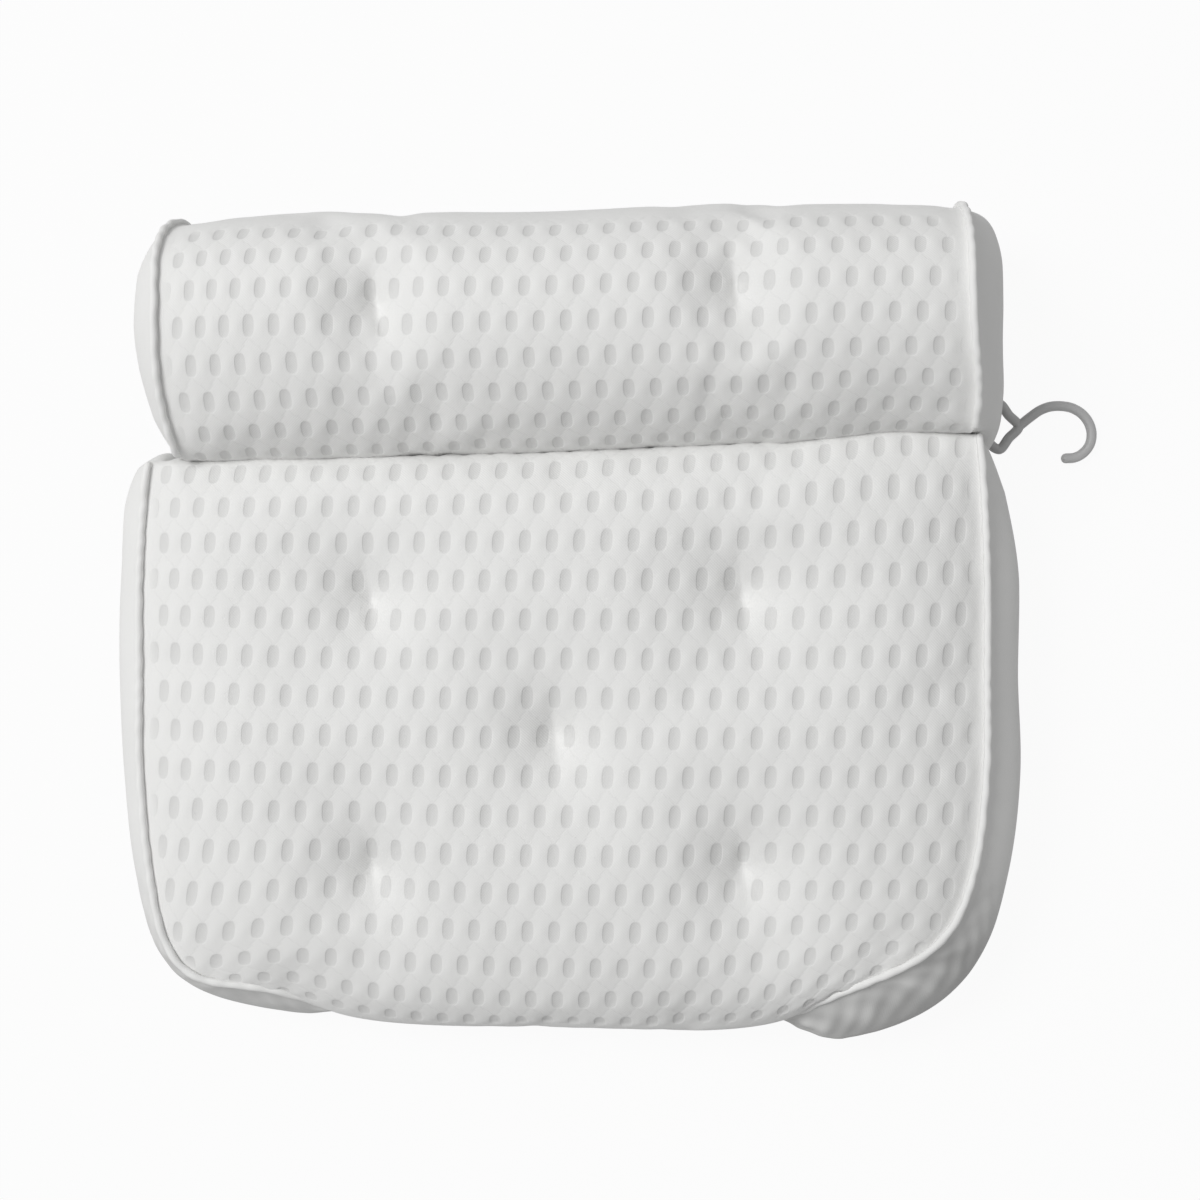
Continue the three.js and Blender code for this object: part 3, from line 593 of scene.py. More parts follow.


# Gussets: plain knit with fine ripples at both seams, bunched and puckered at the panel's lower corners, with
# shade painted into those corners

RIPPLE_LENGTH = 0.0105
RIPPLE_RISE = 0.00035
FRONT_RIPPLE_REACH = 0.0045
BACK_RIPPLE_REACH = 0.005
SLACK_RISE = 0.0007
FLAT_AT_FOLD = (0, 0.012)
FLAT_AT_FAR_EDGE = (0, 0.005)
CORNER_STARTS = (0.6, 0.78)
CORNER_ENDS = (0.95, 1.0)
FULL_PUCKER = 0.0014
PUCKERED_SHARE = 0.24
PUCKERED_SPREAD = 0.17
LOW_SIDE = (0.12, 0.42)
PLEAT_REACH = 0.034
PLEAT_START = (0, 0.004)


def side_name(spec, side):
    return f"{spec['name']}_{'left' if side < 0 else 'right'}"


def seam_ripples(along, u, side):
    """Rise of the ripples at the two seams and of the slack between them; no wave repeats another's length"""
    drift = 1.9 * np.sin(along / 0.0213) + 1.3 * np.sin(along / 0.0087 + side)
    fine = np.sin(2 * np.pi * along / RIPPLE_LENGTH + drift + 90 * u)
    uneven = 0.5 + 0.5 * np.sin(along / 0.0171 + 2 * side) * np.sin(along / 0.0293)
    at_seams = np.exp(-u / FRONT_RIPPLE_REACH) + 0.5 * np.exp(-(u[:, -1:] - u) / BACK_RIPPLE_REACH)
    slack = np.sin(along / 0.0231 + side) * np.sin(u / 0.0157 + 1.1 + along / 0.041)
    return RIPPLE_RISE * fine * uneven * at_seams + SLACK_RISE * slack


def corner_puckers(along, u, times, shares, pucker):
    """Rise of the puckers and pleats at a lower corner, and how much shade is painted there, from 0 to 1"""
    corner = smooth_step(*CORNER_STARTS, times) * (1 - smooth_step(*CORNER_ENDS, times))
    dents = np.sin(along / 0.00205 + 1.7 * np.sin(u / 0.0071))
    dents = dents * np.sin(u / 0.0024 + 1.3 * np.sin(along / 0.0083))
    folds = np.sin(along / 0.0041 + u / 0.0075 + 1.2 * np.sin(along / 0.0153))
    seen = fade(shares - PUCKERED_SHARE, PUCKERED_SPREAD)
    relief = 0.75 * dents + 0.45 * folds
    # Painted shade: deeper towards the back seam and in the dents between the puckers
    shade_share = np.clip(0.55 + 0.35 * smooth_step(*LOW_SIDE, shares) - 0.25 * relief * seen, 0, 1)
    from_tip = along.max() - along
    pleats = np.sin(shares * 30 + 1.5 * np.sin(from_tip / 0.009)) * smooth_step(*PLEAT_START, from_tip)
    rise = pucker * corner * seen * (relief - 0.1)
    rise = rise + 0.4 * pucker * pleats * fade(from_tip, PLEAT_REACH)
    return rise, corner * (pucker / FULL_PUCKER) * shade_share


def gusset(spec, curves, side, rows, columns, pucker):
    times = even_times(curves, rows, ["seam", "back_seam"])
    shares = np.linspace(0, 1, columns)
    time_grid, share_grid = np.meshgrid(times, shares, indexing="ij")
    band = band_point(spec, curves, time_grid, share_grid, side)
    u, v = travelled(band, 1, 0), travelled(band, 0, 0)
    along = np.broadcast_to(v[:, :1], v.shape)
    rise = seam_ripples(along, u, side)
    # Painted shade at the puckered corners, carried by the mesh as a mark
    corner_shade = np.zeros_like(u)
    if pucker:
        puckers, corner_shade = corner_puckers(along, u, time_grid, shares[None, :], pucker)
        rise = rise + puckers
    ends = smooth_step(*FLAT_AT_FOLD, along) * smooth_step(*FLAT_AT_FAR_EDGE, along.max() - along)
    held = np.minimum(np.sin(np.pi * shares)[None, :] ** 0.6, 1)
    rise = rise * ends * held
    band = band + surface_normals(band, (side, 0, 0)) * rise[..., None]
    band[0, :, 1] = spec["direction"] * FOLD_HALF_GAP / 2
    name = side_name(spec, side) + "_gusset_cloth"
    return cloth_piece(name, band, (side, 0, 0), u, v, {"bunched_knit": corner_shade}, spec)


# Piping: a rolled edge along each front seam, a little wavy, knotted at its ends

PIPING_STEPS = 420
FRONT_BESIDE, BAND_BESIDE = 0.985, 0.04
BEAD_RADIUS = 0.0016
BEAD_RISE = 0.00075
BEAD_WAVE = 0.00018
KNOT_PLACE, KNOT_SPREAD, KNOT_SWELL = 0.0022, 0.0018, 0.55
BEAD_TIP = 0.0012


def round_map(turn, radius, steps):
    """Cloth map of a tube: how far round it and how far along it, in metres"""
    return np.stack(np.broadcast_arrays((turn * radius)[None], steps[:, None]), -1)


def tube_parts(centres, radii, sides=14):
    """Corners, faces and cloth map of a tube round a line of points"""
    along = unit(np.gradient(centres, axis=0))
    first = unit(np.cross(along, np.array([0.13, 0.21, 0.97])))
    second = np.cross(along, first)
    turn = np.linspace(0, 2 * np.pi, sides, endpoint=False)
    ring = np.cos(turn)[None, :, None] * first[:, None] + np.sin(turn)[None, :, None] * second[:, None]
    corners = centres[:, None] + ring * radii[:, None, None]
    cloth_map = round_map(turn, radii.mean(), run_along(centres))
    return corners.reshape(-1, 3), grid_faces(len(centres), sides, True), cloth_map.reshape(-1, 2)


def piping(spec, curves, side):
    times = even_times(curves, PIPING_STEPS, ["seam"])
    seam = curves["seam"](times) * np.array([side, 1, 1])
    front = crown_point(spec, curves, times, np.full(PIPING_STEPS, FRONT_BESIDE * side))
    band = band_point(spec, curves, times, np.full(PIPING_STEPS, BAND_BESIDE), side)
    along = unit(np.gradient(seam, axis=0))
    rise = unit(seam - front) + unit(seam - band)
    rise = unit(rise - along * np.sum(rise * along, axis=1, keepdims=True))
    steps = run_along(seam)
    wave = np.sin(steps / 0.0016 + 2.1 * np.sin(steps / 0.011)) * BEAD_WAVE
    centres = seam + rise * (BEAD_RISE + wave)[:, None]
    from_end = np.minimum(steps, steps[-1] - steps)
    knot = KNOT_SWELL * fade(from_end - KNOT_PLACE, KNOT_SPREAD)
    radii = BEAD_RADIUS * (1 + 0.06 * np.sin(steps / 0.0021) + knot)
    radii *= np.sqrt(np.clip(from_end / BEAD_TIP, 0.02, 1))
    inward = np.maximum(centres[:, 1] * spec["direction"], radii + FOLD_HALF_GAP / 2)
    centres[:, 1] = inward * spec["direction"]
    tube = tube_parts(settled_in_place(centres, spec), radii)
    return mesh_object(side_name(spec, side) + "_rolled_edge", *tube)


# Backs: a little full between the edge and the eyelets, and crimped round each eyelet

BACK_BULGE = 0.0022
BACK_BORDER = 0.035
EYELET_REACH = 0.017
EYELET_EDGE = 0.0088
CRIMPS = 11
CRIMP_RISE = 0.0004
CRIMP_REACH = 0.007


def back_cover(spec, curves, rows, columns):
    times = even_times(curves, rows, ["back_middle", "back_seam"])
    back = back_point(curves, *np.meshgrid(times, np.linspace(-1, 1, columns), indexing="ij"))
    u, v = travelled(back, 1, columns // 2), travelled(back, 0, 0)
    border = np.minimum(np.minimum(v, v[-1:] - v), np.minimum(u - u[:, :1], u[:, -1:] - u))
    bulge = smooth_step(0, BACK_BORDER, border)
    crimp = np.zeros_like(u)
    for tuft_x, tuft_y in tuft_places(spec):
        dx, dy = back[..., 0] - tuft_x, back[..., 1] - tuft_y
        away = np.maximum(np.hypot(dx, dy) - EYELET_EDGE, 0)
        bulge = bulge * (1 - fade(away, EYELET_REACH))
        folds = CRIMP_RISE * np.sin(CRIMPS * np.arctan2(dy, dx))
        crimp += folds * np.exp(-away / CRIMP_REACH) * smooth_step(0, 0.002, away)
    back[..., 2] -= BACK_BULGE * bulge + crimp * smooth_step(0, 0.01, border)
    back[0, :, 1] = spec["direction"] * FOLD_HALF_GAP / 2
    return cloth_piece(spec["name"] + "_back_cloth", back, (0, 0, -1), u, v, spec=spec)


# Tapes: a binding along the far edge of each cushion, and one tape in the fold

BINDING_STEPS, BINDING_ROWS = 220, 9
BINDING_PUFF = 0.0011
BINDING_WAVE = 0.00012
BINDING_TAPER = 0.06
FOLD_TAPE_STEPS = 160


def edge_tape(spec, curves):
    """The binding strip that closes the far edge, between the front cover and the back cover"""
    shares = np.linspace(-1, 1, BINDING_STEPS)
    front = crown_point(spec, curves, np.ones(BINDING_STEPS), shares)
    back = back_point(curves, np.ones(BINDING_STEPS), shares)
    rise = np.linspace(0, 1, BINDING_ROWS)[:, None, None]
    strip = front * (1 - rise) + back * rise
    along = np.gradient(front, axis=0)
    outward = unit(np.stack([along[:, 1], -along[:, 0], np.zeros(BINDING_STEPS)], -1))
    outward *= np.where(outward[BINDING_STEPS // 2, 1] * spec["direction"] < 0, -1, 1)
    across = travelled(strip, 1, BINDING_STEPS // 2)
    puff = BINDING_PUFF * np.sin(np.pi * rise[..., 0]) ** 0.5 + BINDING_WAVE * np.sin(across / 0.0017)
    puff = puff * smooth_step(0, BINDING_TAPER, 1 - np.abs(shares))
    strip = strip + outward[None] * puff[..., None]
    name, facing = spec["name"] + "_edge_binding", (0, spec["direction"], 0)
    return cloth_piece(name, strip, facing, across, travelled(strip, 0, 0), spec=spec)


def fold_tape(panel_curves, roll_curves):
    """One tape in the fold: down the end of one cushion, across and up the end of the other"""
    shares = np.linspace(-1, 1, FOLD_TAPE_STEPS)
    panel_end = crown_point(PANEL, panel_curves, np.zeros(FOLD_TAPE_STEPS), shares)
    roll_end = crown_point(ROLL, roll_curves, np.zeros(FOLD_TAPE_STEPS), shares)
    across = np.array([0, 0, 0, 0, 0, 0.1, 0.5, 0.9, 1, 1, 1, 1, 1])
    height = np.array([1, 0.75, 0.5, 0.25, 0.1, 0.03, 0.03, 0.03, 0.1, 0.25, 0.5, 0.75, 1])
    points = panel_end[None] * (1 - across[:, None, None]) + roll_end[None] * across[:, None, None]
    points[..., 2] = BACK_HEIGHT + BAND_END_HEIGHT * height[:, None]
    u, v = travelled(points, 1, FOLD_TAPE_STEPS // 2), travelled(points, 0, 0)
    return cloth_piece("fold_tape_cloth", points, (0, 0, 1), u, v)


# Fillings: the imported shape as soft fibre, pressed in under the tufts

FIBRE_SIZE = 0.005
FIBRE_GIVE = 0.007
UNDER_FRONT = (0.3, 0.6)


def apply_modifiers(piece):
    graph = bpy.context.evaluated_depsgraph_get()
    made = bpy.data.meshes.new_from_object(piece.evaluated_get(graph), depsgraph=graph)
    piece.modifiers.clear()
    piece.data = made


def filling(spec):
    name = spec["name"] + "_filling"
    piece = added(name + "_fibre", frame["nodes"][name].data.copy())
    piece.data.materials.clear()
    remesh = piece.modifiers.new("fibre", "REMESH")
    remesh.mode, remesh.voxel_size = "VOXEL", FIBRE_SIZE
    remesh.use_smooth_shade = True
    piece.modifiers.new("soft", "SMOOTH").iterations = 4
    apply_modifiers(piece)
    places = np.zeros(len(piece.data.vertices) * 3, np.float32)
    piece.data.vertices.foreach_get("co", places)
    places = places.reshape(-1, 3) - np.array([CENTRE_X, FOLD_Y, 0])
    give = FIBRE_GIVE * smooth_step(*UNDER_FRONT, (places[:, 2] - BACK_HEIGHT) / spec["thickness"])
    places[:, 2] -= give * tuft_drop(spec, places) / spec["tuft_depth"]
    piece.data.vertices.foreach_set("co", settled_in_place(places, spec).astype(np.float32).ravel())
    return piece


# Tuft ties: a twisted cord with a flat button at its top, under the front cover

TIE_STEPS, TIE_SIDES = 90, 20
TIE_RADIUS = 0.0011
TIE_TIP = 0.0001
TWIST_LENGTH = 0.0005
BUTTON_THICKNESS = 0.001
BUTTON_EDGE = 0.0002


def tuft_tie(name):
    low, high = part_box(name)
    centre, wide = (low + high) / 2, (high.x - low.x) / 2
    top = high.z - BUTTON_THICKNESS
    button = [top, top + BUTTON_EDGE, high.z - BUTTON_EDGE, high.z, high.z]
    heights = np.concatenate([np.linspace(low.z, top, TIE_STEPS), button])
    radii = TIE_RADIUS * (0.94 + 0.06 * np.sin(heights[:TIE_STEPS] / TWIST_LENGTH))
    radii = np.concatenate([radii, [0.9 * wide, wide, wide, 0.9 * wide, TIE_TIP]])
    radii[0] = TIE_TIP
    turn = np.linspace(0, 2 * np.pi, TIE_SIDES, endpoint=False)
    ring = np.stack([np.cos(turn), np.sin(turn), np.zeros(TIE_SIDES)], -1)
    middles = [(centre.x, centre.y, height) for height in heights]
    corners = ring[None] * radii[:, None, None] + np.array(middles)[:, None]
    faces = grid_faces(len(heights), TIE_SIDES, True)
    return mesh_object(name + "_thread", corners, faces, round_map(turn, TIE_RADIUS, heights))


# The cloth loop of the hook

RIBBON_THICKNESS = 0.0009
RIBBON_RADIUS = 0.0029
RIBBON_SEAT_GAP = 0.0003
RIBBON_FULLNESS = 0.48
RIBBON_SECTION = np.array(
    [(-1, -0.9), (-0.7, -1), (0.7, -1), (1, -0.9), (1, 0.9), (0.7, 1), (-0.7, 1), (-1, 0.9)]
)
ARC_STEPS, LEG_STEPS = 60, 24


def hook_ribbon():
    """A ribbon from the roll's back round the straight bar of the hook and back again"""
    low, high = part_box("hook_loop")
    reach = RIBBON_RADIUS + RIBBON_THICKNESS / 2
    bar = np.array([high.x - reach, low.z + reach])
    seat = np.array([low.x, BACK_HEIGHT - RIBBON_SEAT_GAP - RIBBON_THICKNESS])
    length = np.linalg.norm(seat - bar)
    toward = (seat - bar) / length
    aside = np.array([-toward[1], toward[0]])
    half = np.arccos((RIBBON_RADIUS - RIBBON_THICKNESS / 2) / length)
    turns = np.linspace(half, 2 * np.pi - half, ARC_STEPS)
    arc = RIBBON_RADIUS * (np.cos(turns)[:, None] * toward + np.sin(turns)[:, None] * aside)
    leg = np.linspace(0, 1, LEG_STEPS)[:, None]
    first = (toward * length + aside * RIBBON_THICKNESS / 2) * (1 - leg) + arc[0] * leg
    last = arc[-1] * (1 - leg) + (toward * length - aside * RIBBON_THICKNESS / 2) * leg
    path = np.concatenate([first[:-1], arc, last[1:]]) + bar
    along = unit(np.gradient(path, axis=0))
    across = np.stack([-along[:, 1], along[:, 0]], -1)
    edge = path[:, None] + across[:, None] * RIBBON_SECTION[:, :1] * RIBBON_THICKNESS * RIBBON_FULLNESS
    wide = RIBBON_SECTION[:, 1] * (high.y - low.y) / 2
    beside = np.broadcast_to((high.y + low.y) / 2 + wide, edge.shape[:2])
    corners = np.stack([edge[..., 0], beside, edge[..., 1]], -1)
    faces = grid_faces(len(path), len(wide), True)
    return mesh_object("hook_loop_ribbon", corners, faces, round_map(wide, 1, run_along(path)))


# The hook: an eye like a rounded arrow head, a stem and an open curl, from one round rod

ROD_RADIUS = 0.00215
ROD_SIDES = 24
EYE_STEPS, STEM_STEPS, TIP_STEPS = 240, 260, 12
EYE_CORNERS = [
    (0, -0.0059), (0, 0), (0, 0.0059), (0.0049, 0.0098),
    (0.00905, 0.0049), (0.0132, 0), (0.00905, -0.0049), (0.0049, -0.0098),
]
STEM_AND_CURL = [
    (0.0132, 0), (0.0184, 0.0042), (0.0223, 0.0069), (0.0267, 0.0085), (0.0316, 0.0087), (0.0362, 0.0077),
    (0.0402, 0.0052), (0.0431, 0.0013), (0.0443, -0.0034), (0.0434, -0.0082), (0.0404, -0.0119),
    (0.037, -0.0136), (0.0334, -0.0139),
]


def hook_rod():
    closed = EYE_CORNERS[-2:] + EYE_CORNERS + EYE_CORNERS[:3]
    round_once = np.linspace(2, 2 + len(EYE_CORNERS), EYE_STEPS) / (len(closed) - 1)
    eye = smooth_curve([(x, y, 0) for x, y in closed])(round_once)
    stem = smooth_curve([(x, y, 0) for x, y in STEM_AND_CURL])(np.linspace(0, 1, STEM_STEPS))
    rounding = np.linspace(0, math.pi / 2, TIP_STEPS)[1:]
    tip = stem[-1] + unit(stem[-1] - stem[-2]) * ROD_RADIUS * np.sin(rounding)[:, None]
    tip_radii = ROD_RADIUS * np.maximum(np.cos(rounding), 0.02)
    stem_radii = np.concatenate([np.full(STEM_STEPS, ROD_RADIUS), tip_radii])
    place = np.array(joint_place("hook_swing"))
    eye_corners, eye_faces, eye_map = tube_parts(eye + place, np.full(EYE_STEPS, ROD_RADIUS), ROD_SIDES)
    stem = np.concatenate([stem, tip]) + place
    stem_corners, stem_faces, stem_map = tube_parts(stem, stem_radii, ROD_SIDES)
    return mesh_object(
        "hook_rod",
        np.concatenate([eye_corners, stem_corners]),
        np.concatenate([eye_faces, stem_faces + len(eye_corners)]),
        np.concatenate([eye_map, stem_map]),
    )


# Cups and eyelets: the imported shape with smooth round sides

SHARP_CORNER = math.radians(38)
WELD_REACH = 0.00001


def made_round(mesh, x, y, sides):
    """Rounds a mesh that was turned about an upright axis with that many flat sides"""
    shell = bmesh.new()
    shell.from_mesh(mesh)
    bmesh.ops.subdivide_edges(shell, edges=shell.edges[:], cuts=2, use_grid_fill=True)
    sector = 2 * math.pi / sides
    for corner in shell.verts:
        across, along = corner.co.x - x, corner.co.y - y
        off_middle = (math.atan2(along, across) + math.pi / 2) % sector - sector / 2
        growth = math.cos(off_middle) / math.cos(sector / 2)
        corner.co.x, corner.co.y = x + across * growth, y + along * growth
    shell.to_mesh(mesh)
    shell.free()


def moulded_copy(node_name, ending, sides):
    piece = added(node_name + ending, frame["nodes"][node_name].data.copy())
    for mark in ("custom_normal", "sharp_edge", "sharp_face"):
        if mark in piece.data.attributes:
            piece.data.attributes.remove(piece.data.attributes[mark])
    piece.modifiers.new("weld", "WELD").merge_threshold = WELD_REACH
    apply_modifiers(piece)
    x, y = joint_place(node_name.replace("eyelet", "suction_cup") + "_swivel")[:2]
    made_round(piece.data, x, y, sides)
    piece.data.shade_smooth()
    piece.data.set_sharp_from_angle(angle=SHARP_CORNER)
    return piece


# Shared effects of the materials

NUMBER, COLOUR, VECTOR = "NodeSocketFloat", "NodeSocketColor", "NodeSocketVector"
ROUGHNESS_DRIFT = 0.12


def shader_group(name, inputs, outputs):
    group = bpy.data.node_groups.new(name, "ShaderNodeTree")
    for sockets, way in ((inputs, "INPUT"), (outputs, "OUTPUT")):
        for label, kind in sockets.items():
            group.interface.new_socket(name=label, in_out=way, socket_type=kind)
    return group, group.nodes.new("NodeGroupInput"), group.nodes.new("NodeGroupOutput")


def sum_node(tree, operation, *values):
    node = tree.nodes.new("ShaderNodeMath")
    node.operation = operation
    for socket, value in zip(node.inputs, values):
        if isinstance(value, (int, float)):
            socket.default_value = value
        else:
            tree.links.new(value, socket)
    return node.outputs[0]


def set_inputs(node, **values):
    """Sets the inputs of a node; an underscore stands for the space in an input's label"""
    for label, value in values.items():
        node.inputs[label.replace("_", " ")].default_value = value


def map_parts(tree, cloth_map):
    """How far across and how far up the cloth, in metres"""
    parts = tree.nodes.new("ShaderNodeSeparateXYZ")
    tree.links.new(cloth_map, parts.inputs[0])
    return parts.outputs[0], parts.outputs[1]


def soft_noise(group, size, detail):
    """Noise that is fixed to the object, with patches of about that size in metres"""
    place = group.nodes.new("ShaderNodeTexCoord")
    noise = group.nodes.new("ShaderNodeTexNoise")
    set_inputs(noise, Detail=detail)
    group.links.new(place.outputs["Object"], noise.inputs["Vector"])
    group.links.new(sum_node(group, "DIVIDE", 1.0, size), noise.inputs["Scale"])
    return noise.outputs["Fac"]


def fine_loops_group():
    """Height of fine knitted loops, from the cloth map in metres"""
    group, given, result = shader_group(
        "fine_loops", {"Cloth Map": VECTOR, "Loop Size": NUMBER}, {"Height": NUMBER}
    )
    u, v = map_parts(group, given.outputs["Cloth Map"])
    step = sum_node(group, "DIVIDE", 2 * math.pi, given.outputs["Loop Size"])
    across = sum_node(group, "SINE", sum_node(group, "MULTIPLY", u, step))
    upward = sum_node(group, "SINE", sum_node(group, "MULTIPLY", v, step))
    height = sum_node(group, "MULTIPLY_ADD", across, upward, 1.0)
    group.links.new(sum_node(group, "MULTIPLY", height, 0.5), result.inputs["Height"])
    return group


def tone_and_painted_shade_group():
    """A colour that goes a little darker in soft patches of uneven tone, and with painted shade where a mask
    says so
    """
    group, given, result = shader_group(
        "uneven_tone",
        {"Color": COLOUR, "Patch Size": NUMBER, "Patch Depth": NUMBER, "Mask": NUMBER, "Mask Depth": NUMBER},
        {"Color": COLOUR},
    )
    noise = soft_noise(group, given.outputs["Patch Size"], 3.0)
    patch = sum_node(group, "MULTIPLY", noise, given.outputs["Patch Depth"])
    # Painted shade where the mask says so
    masked = sum_node(group, "MULTIPLY", given.outputs["Mask"], given.outputs["Mask Depth"])
    level = sum_node(group, "SUBTRACT", 1.0, sum_node(group, "ADD", patch, masked))
    tint = group.nodes.new("ShaderNodeVectorMath")
    tint.operation = "SCALE"
    group.links.new(given.outputs["Color"], tint.inputs[0])
    group.links.new(level, tint.inputs["Scale"])
    group.links.new(tint.outputs[0], result.inputs["Color"])
    return group


def moulding_grain_group():
    """Height of the faint grain that a mould leaves on plastic and rubber"""
    group, given, result = shader_group(
        "moulding_grain", {"Grain Size": NUMBER}, {"Height": NUMBER, "Roughness Drift": NUMBER}
    )
    noise = soft_noise(group, given.outputs["Grain Size"], 2.0)
    group.links.new(noise, result.inputs["Height"])
    group.links.new(sum_node(group, "MULTIPLY", noise, ROUGHNESS_DRIFT), result.inputs["Roughness Drift"])
    return group


FINE_LOOPS = fine_loops_group()
TONE_AND_PAINTED_SHADE = tone_and_painted_shade_group()
MOULDING_GRAIN = moulding_grain_group()

# Materials

WHITE_KNIT = (0.82, 0.82, 0.81)
CLOTH_ROUGHNESS = 0.92
CLOTH_PATCH = 0.03
# Painted shade at the puckered corners of the gussets
PAINTED_CORNER_SHADE_DEPTH = 0.38
# Painted shade in the holes of the mesh knit
HOLE_PAINTED_SHADE = 0.12
HOLE_SQUARENESS = 2.8
HOLE_BORDER = (0.68, 1.25)
THREAD_HALF_WIDTH = 0.0009
THREAD_START = (0, 0.001)
# Painted shade along the creased threads between the rows of holes
THREAD_PAINTED_SHADE = 0.22
HOLE_SINKS, THREAD_SINKS = -2.4, -0.6


def placed_group(tree, group, **values):
    node = tree.nodes.new("ShaderNodeGroup")
    node.node_tree = group
    set_inputs(node, **values)
    return node


def new_material(name, colour, roughness):
    material = bpy.data.materials.new(name)
    material.use_nodes = True
    material.diffuse_color = (*colour, 1)
    shader = material.node_tree.nodes["Principled BSDF"]
    set_inputs(shader, Base_Color=(*colour, 1), Roughness=roughness)
    return material, material.node_tree, shader


def bump_node(tree, shader, height, strength, distance):
    bump = tree.nodes.new("ShaderNodeBump")
    set_inputs(bump, Strength=strength, Distance=distance)
    tree.links.new(height, bump.inputs["Height"])
    tree.links.new(bump.outputs["Normal"], shader.inputs["Normal"])


def mark_of_cloth(tree, name):
    """A value that the mesh carries in each of its corners"""
    mark = tree.nodes.new("ShaderNodeAttribute")
    mark.attribute_name = name
    return mark.outputs["Fac"]


def cloth_material(name, colour, loop_size, loop_rise, sheen=0.2):
    material, tree, shader = new_material(name, colour, CLOTH_ROUGHNESS)
    set_inputs(shader, Specular_IOR_Level=0.25, Sheen_Weight=sheen, Sheen_Roughness=0.45)
    tone = placed_group(tree, TONE_AND_PAINTED_SHADE, Color=(*colour, 1), Patch_Size=CLOTH_PATCH, Patch_Depth=0.05)
    tree.links.new(tone.outputs["Color"], shader.inputs["Base Color"])
    cloth_map = tree.nodes.new("ShaderNodeUVMap")
    cloth_map.uv_map = "cloth"
    loops = placed_group(tree, FINE_LOOPS, Loop_Size=loop_size)
    tree.links.new(cloth_map.outputs["UV"], loops.inputs["Cloth Map"])
    bump_node(tree, shader, loops.outputs["Height"], 0.6, loop_rise)
    return material


def side_knit_material(name, colour):
    """Plain knit with shade painted into its puckered lower corners"""
    material = cloth_material(name, colour, 0.0009, 0.00006, sheen=0.05)
    tree = material.node_tree
    tone = tree.nodes["Principled BSDF"].inputs["Base Color"].links[0].from_node
    # Painted shade at the puckered corners, from the mark of the mesh
    tree.links.new(mark_of_cloth(tree, "bunched_knit"), tone.inputs["Mask"])
    set_inputs(tone, Mask_Depth=PAINTED_CORNER_SHADE_DEPTH)
    return material


def ramp_node(tree, value, low, high, start=0.0, end=1.0):
    node = tree.nodes.new("ShaderNodeMapRange")
    node.interpolation_type = "SMOOTHSTEP"
    set_inputs(node, From_Min=low, From_Max=high, To_Min=start, To_Max=end)
    tree.links.new(value, node.inputs["Value"])
    return node.outputs["Result"]


def air_mesh_material(name, colour):
    """The plain knit with crisp holes and threads, in the same places as the relief of the cover; shade is
    painted into the holes and along the threads
    """
    material = cloth_material(name, colour, 0.0012, 0.0001)
    tree = material.node_tree
    shader, bump = tree.nodes["Principled BSDF"], next(n for n in tree.nodes if n.type == "BUMP")
    cloth_map = next(n for n in tree.nodes if n.type == "UVMAP")
    u, v = map_parts(tree, cloth_map.outputs["UV"])

    def calc(operation, *values):
        return sum_node(tree, operation, *values)

    row = calc("ROUND", calc("DIVIDE", v, ROW_PITCH))
    stagger = calc("MULTIPLY", calc("FLOORED_MODULO", calc("ADD", row, 1.0), 2.0), 0.5)
    column = calc("ADD", calc("ROUND", calc("SUBTRACT", calc("DIVIDE", u, COLUMN_PITCH), stagger)), stagger)
    dv = calc("SUBTRACT", v, calc("MULTIPLY", row, ROW_PITCH))
    du = calc("SUBTRACT", u, calc("MULTIPLY", column, COLUMN_PITCH))
    du = calc("ABSOLUTE", calc("SUBTRACT", du, calc("MULTIPLY", dv, HOLE_LEAN)))
    dv = calc("ABSOLUTE", dv)
    wide = calc("POWER", calc("DIVIDE", du, HOLE_HALF_WIDTH), HOLE_SQUARENESS)
    tall = calc("POWER", calc("DIVIDE", dv, HOLE_HALF_HEIGHT), HOLE_SQUARENESS)
    hole = ramp_node(tree, calc("ADD", wide, tall), *HOLE_BORDER, 1.0, 0.0)
    past = calc("SUBTRACT", dv, HOLE_HALF_HEIGHT)
    away = calc("ABSOLUTE", calc("SUBTRACT", du, calc("MULTIPLY", past, CREASE_SLOPE)))
    thread = ramp_node(tree, away, 0.0, THREAD_HALF_WIDTH, 1.0, 0.0)
    thread = calc("MULTIPLY", thread, ramp_node(tree, past, *THREAD_START))
    formed = mark_of_cloth(tree, "formed_knit")
    hole, thread = calc("MULTIPLY", hole, formed), calc("MULTIPLY", thread, formed)
    # Painted shade: darker in the holes and along the threads
    tone = shader.inputs["Base Color"].links[0].from_node
    tree.links.new(calc("MULTIPLY_ADD", thread, THREAD_PAINTED_SHADE, hole), tone.inputs["Mask"])
    set_inputs(tone, Mask_Depth=HOLE_PAINTED_SHADE)
    height = calc("MULTIPLY_ADD", hole, HOLE_SINKS, bump.inputs["Height"].links[0].from_socket)
    tree.links.new(calc("MULTIPLY_ADD", thread, THREAD_SINKS, height), bump.inputs["Height"])
    return material


def moulded_material(name, colour, roughness, grain_size, grain_rise, transmission=0.0, ior=1.46):
    material, tree, shader = new_material(name, colour, roughness)
    set_inputs(shader, Transmission_Weight=transmission, IOR=ior)
    grain = placed_group(tree, MOULDING_GRAIN, Grain_Size=grain_size)
    if not transmission:
        level = sum_node(tree, "ADD", grain.outputs["Roughness Drift"], roughness - ROUGHNESS_DRIFT / 2)
        tree.links.new(level, shader.inputs["Roughness"])
    bump_node(tree, shader, grain.outputs["Height"], 0.5, grain_rise)
    return material


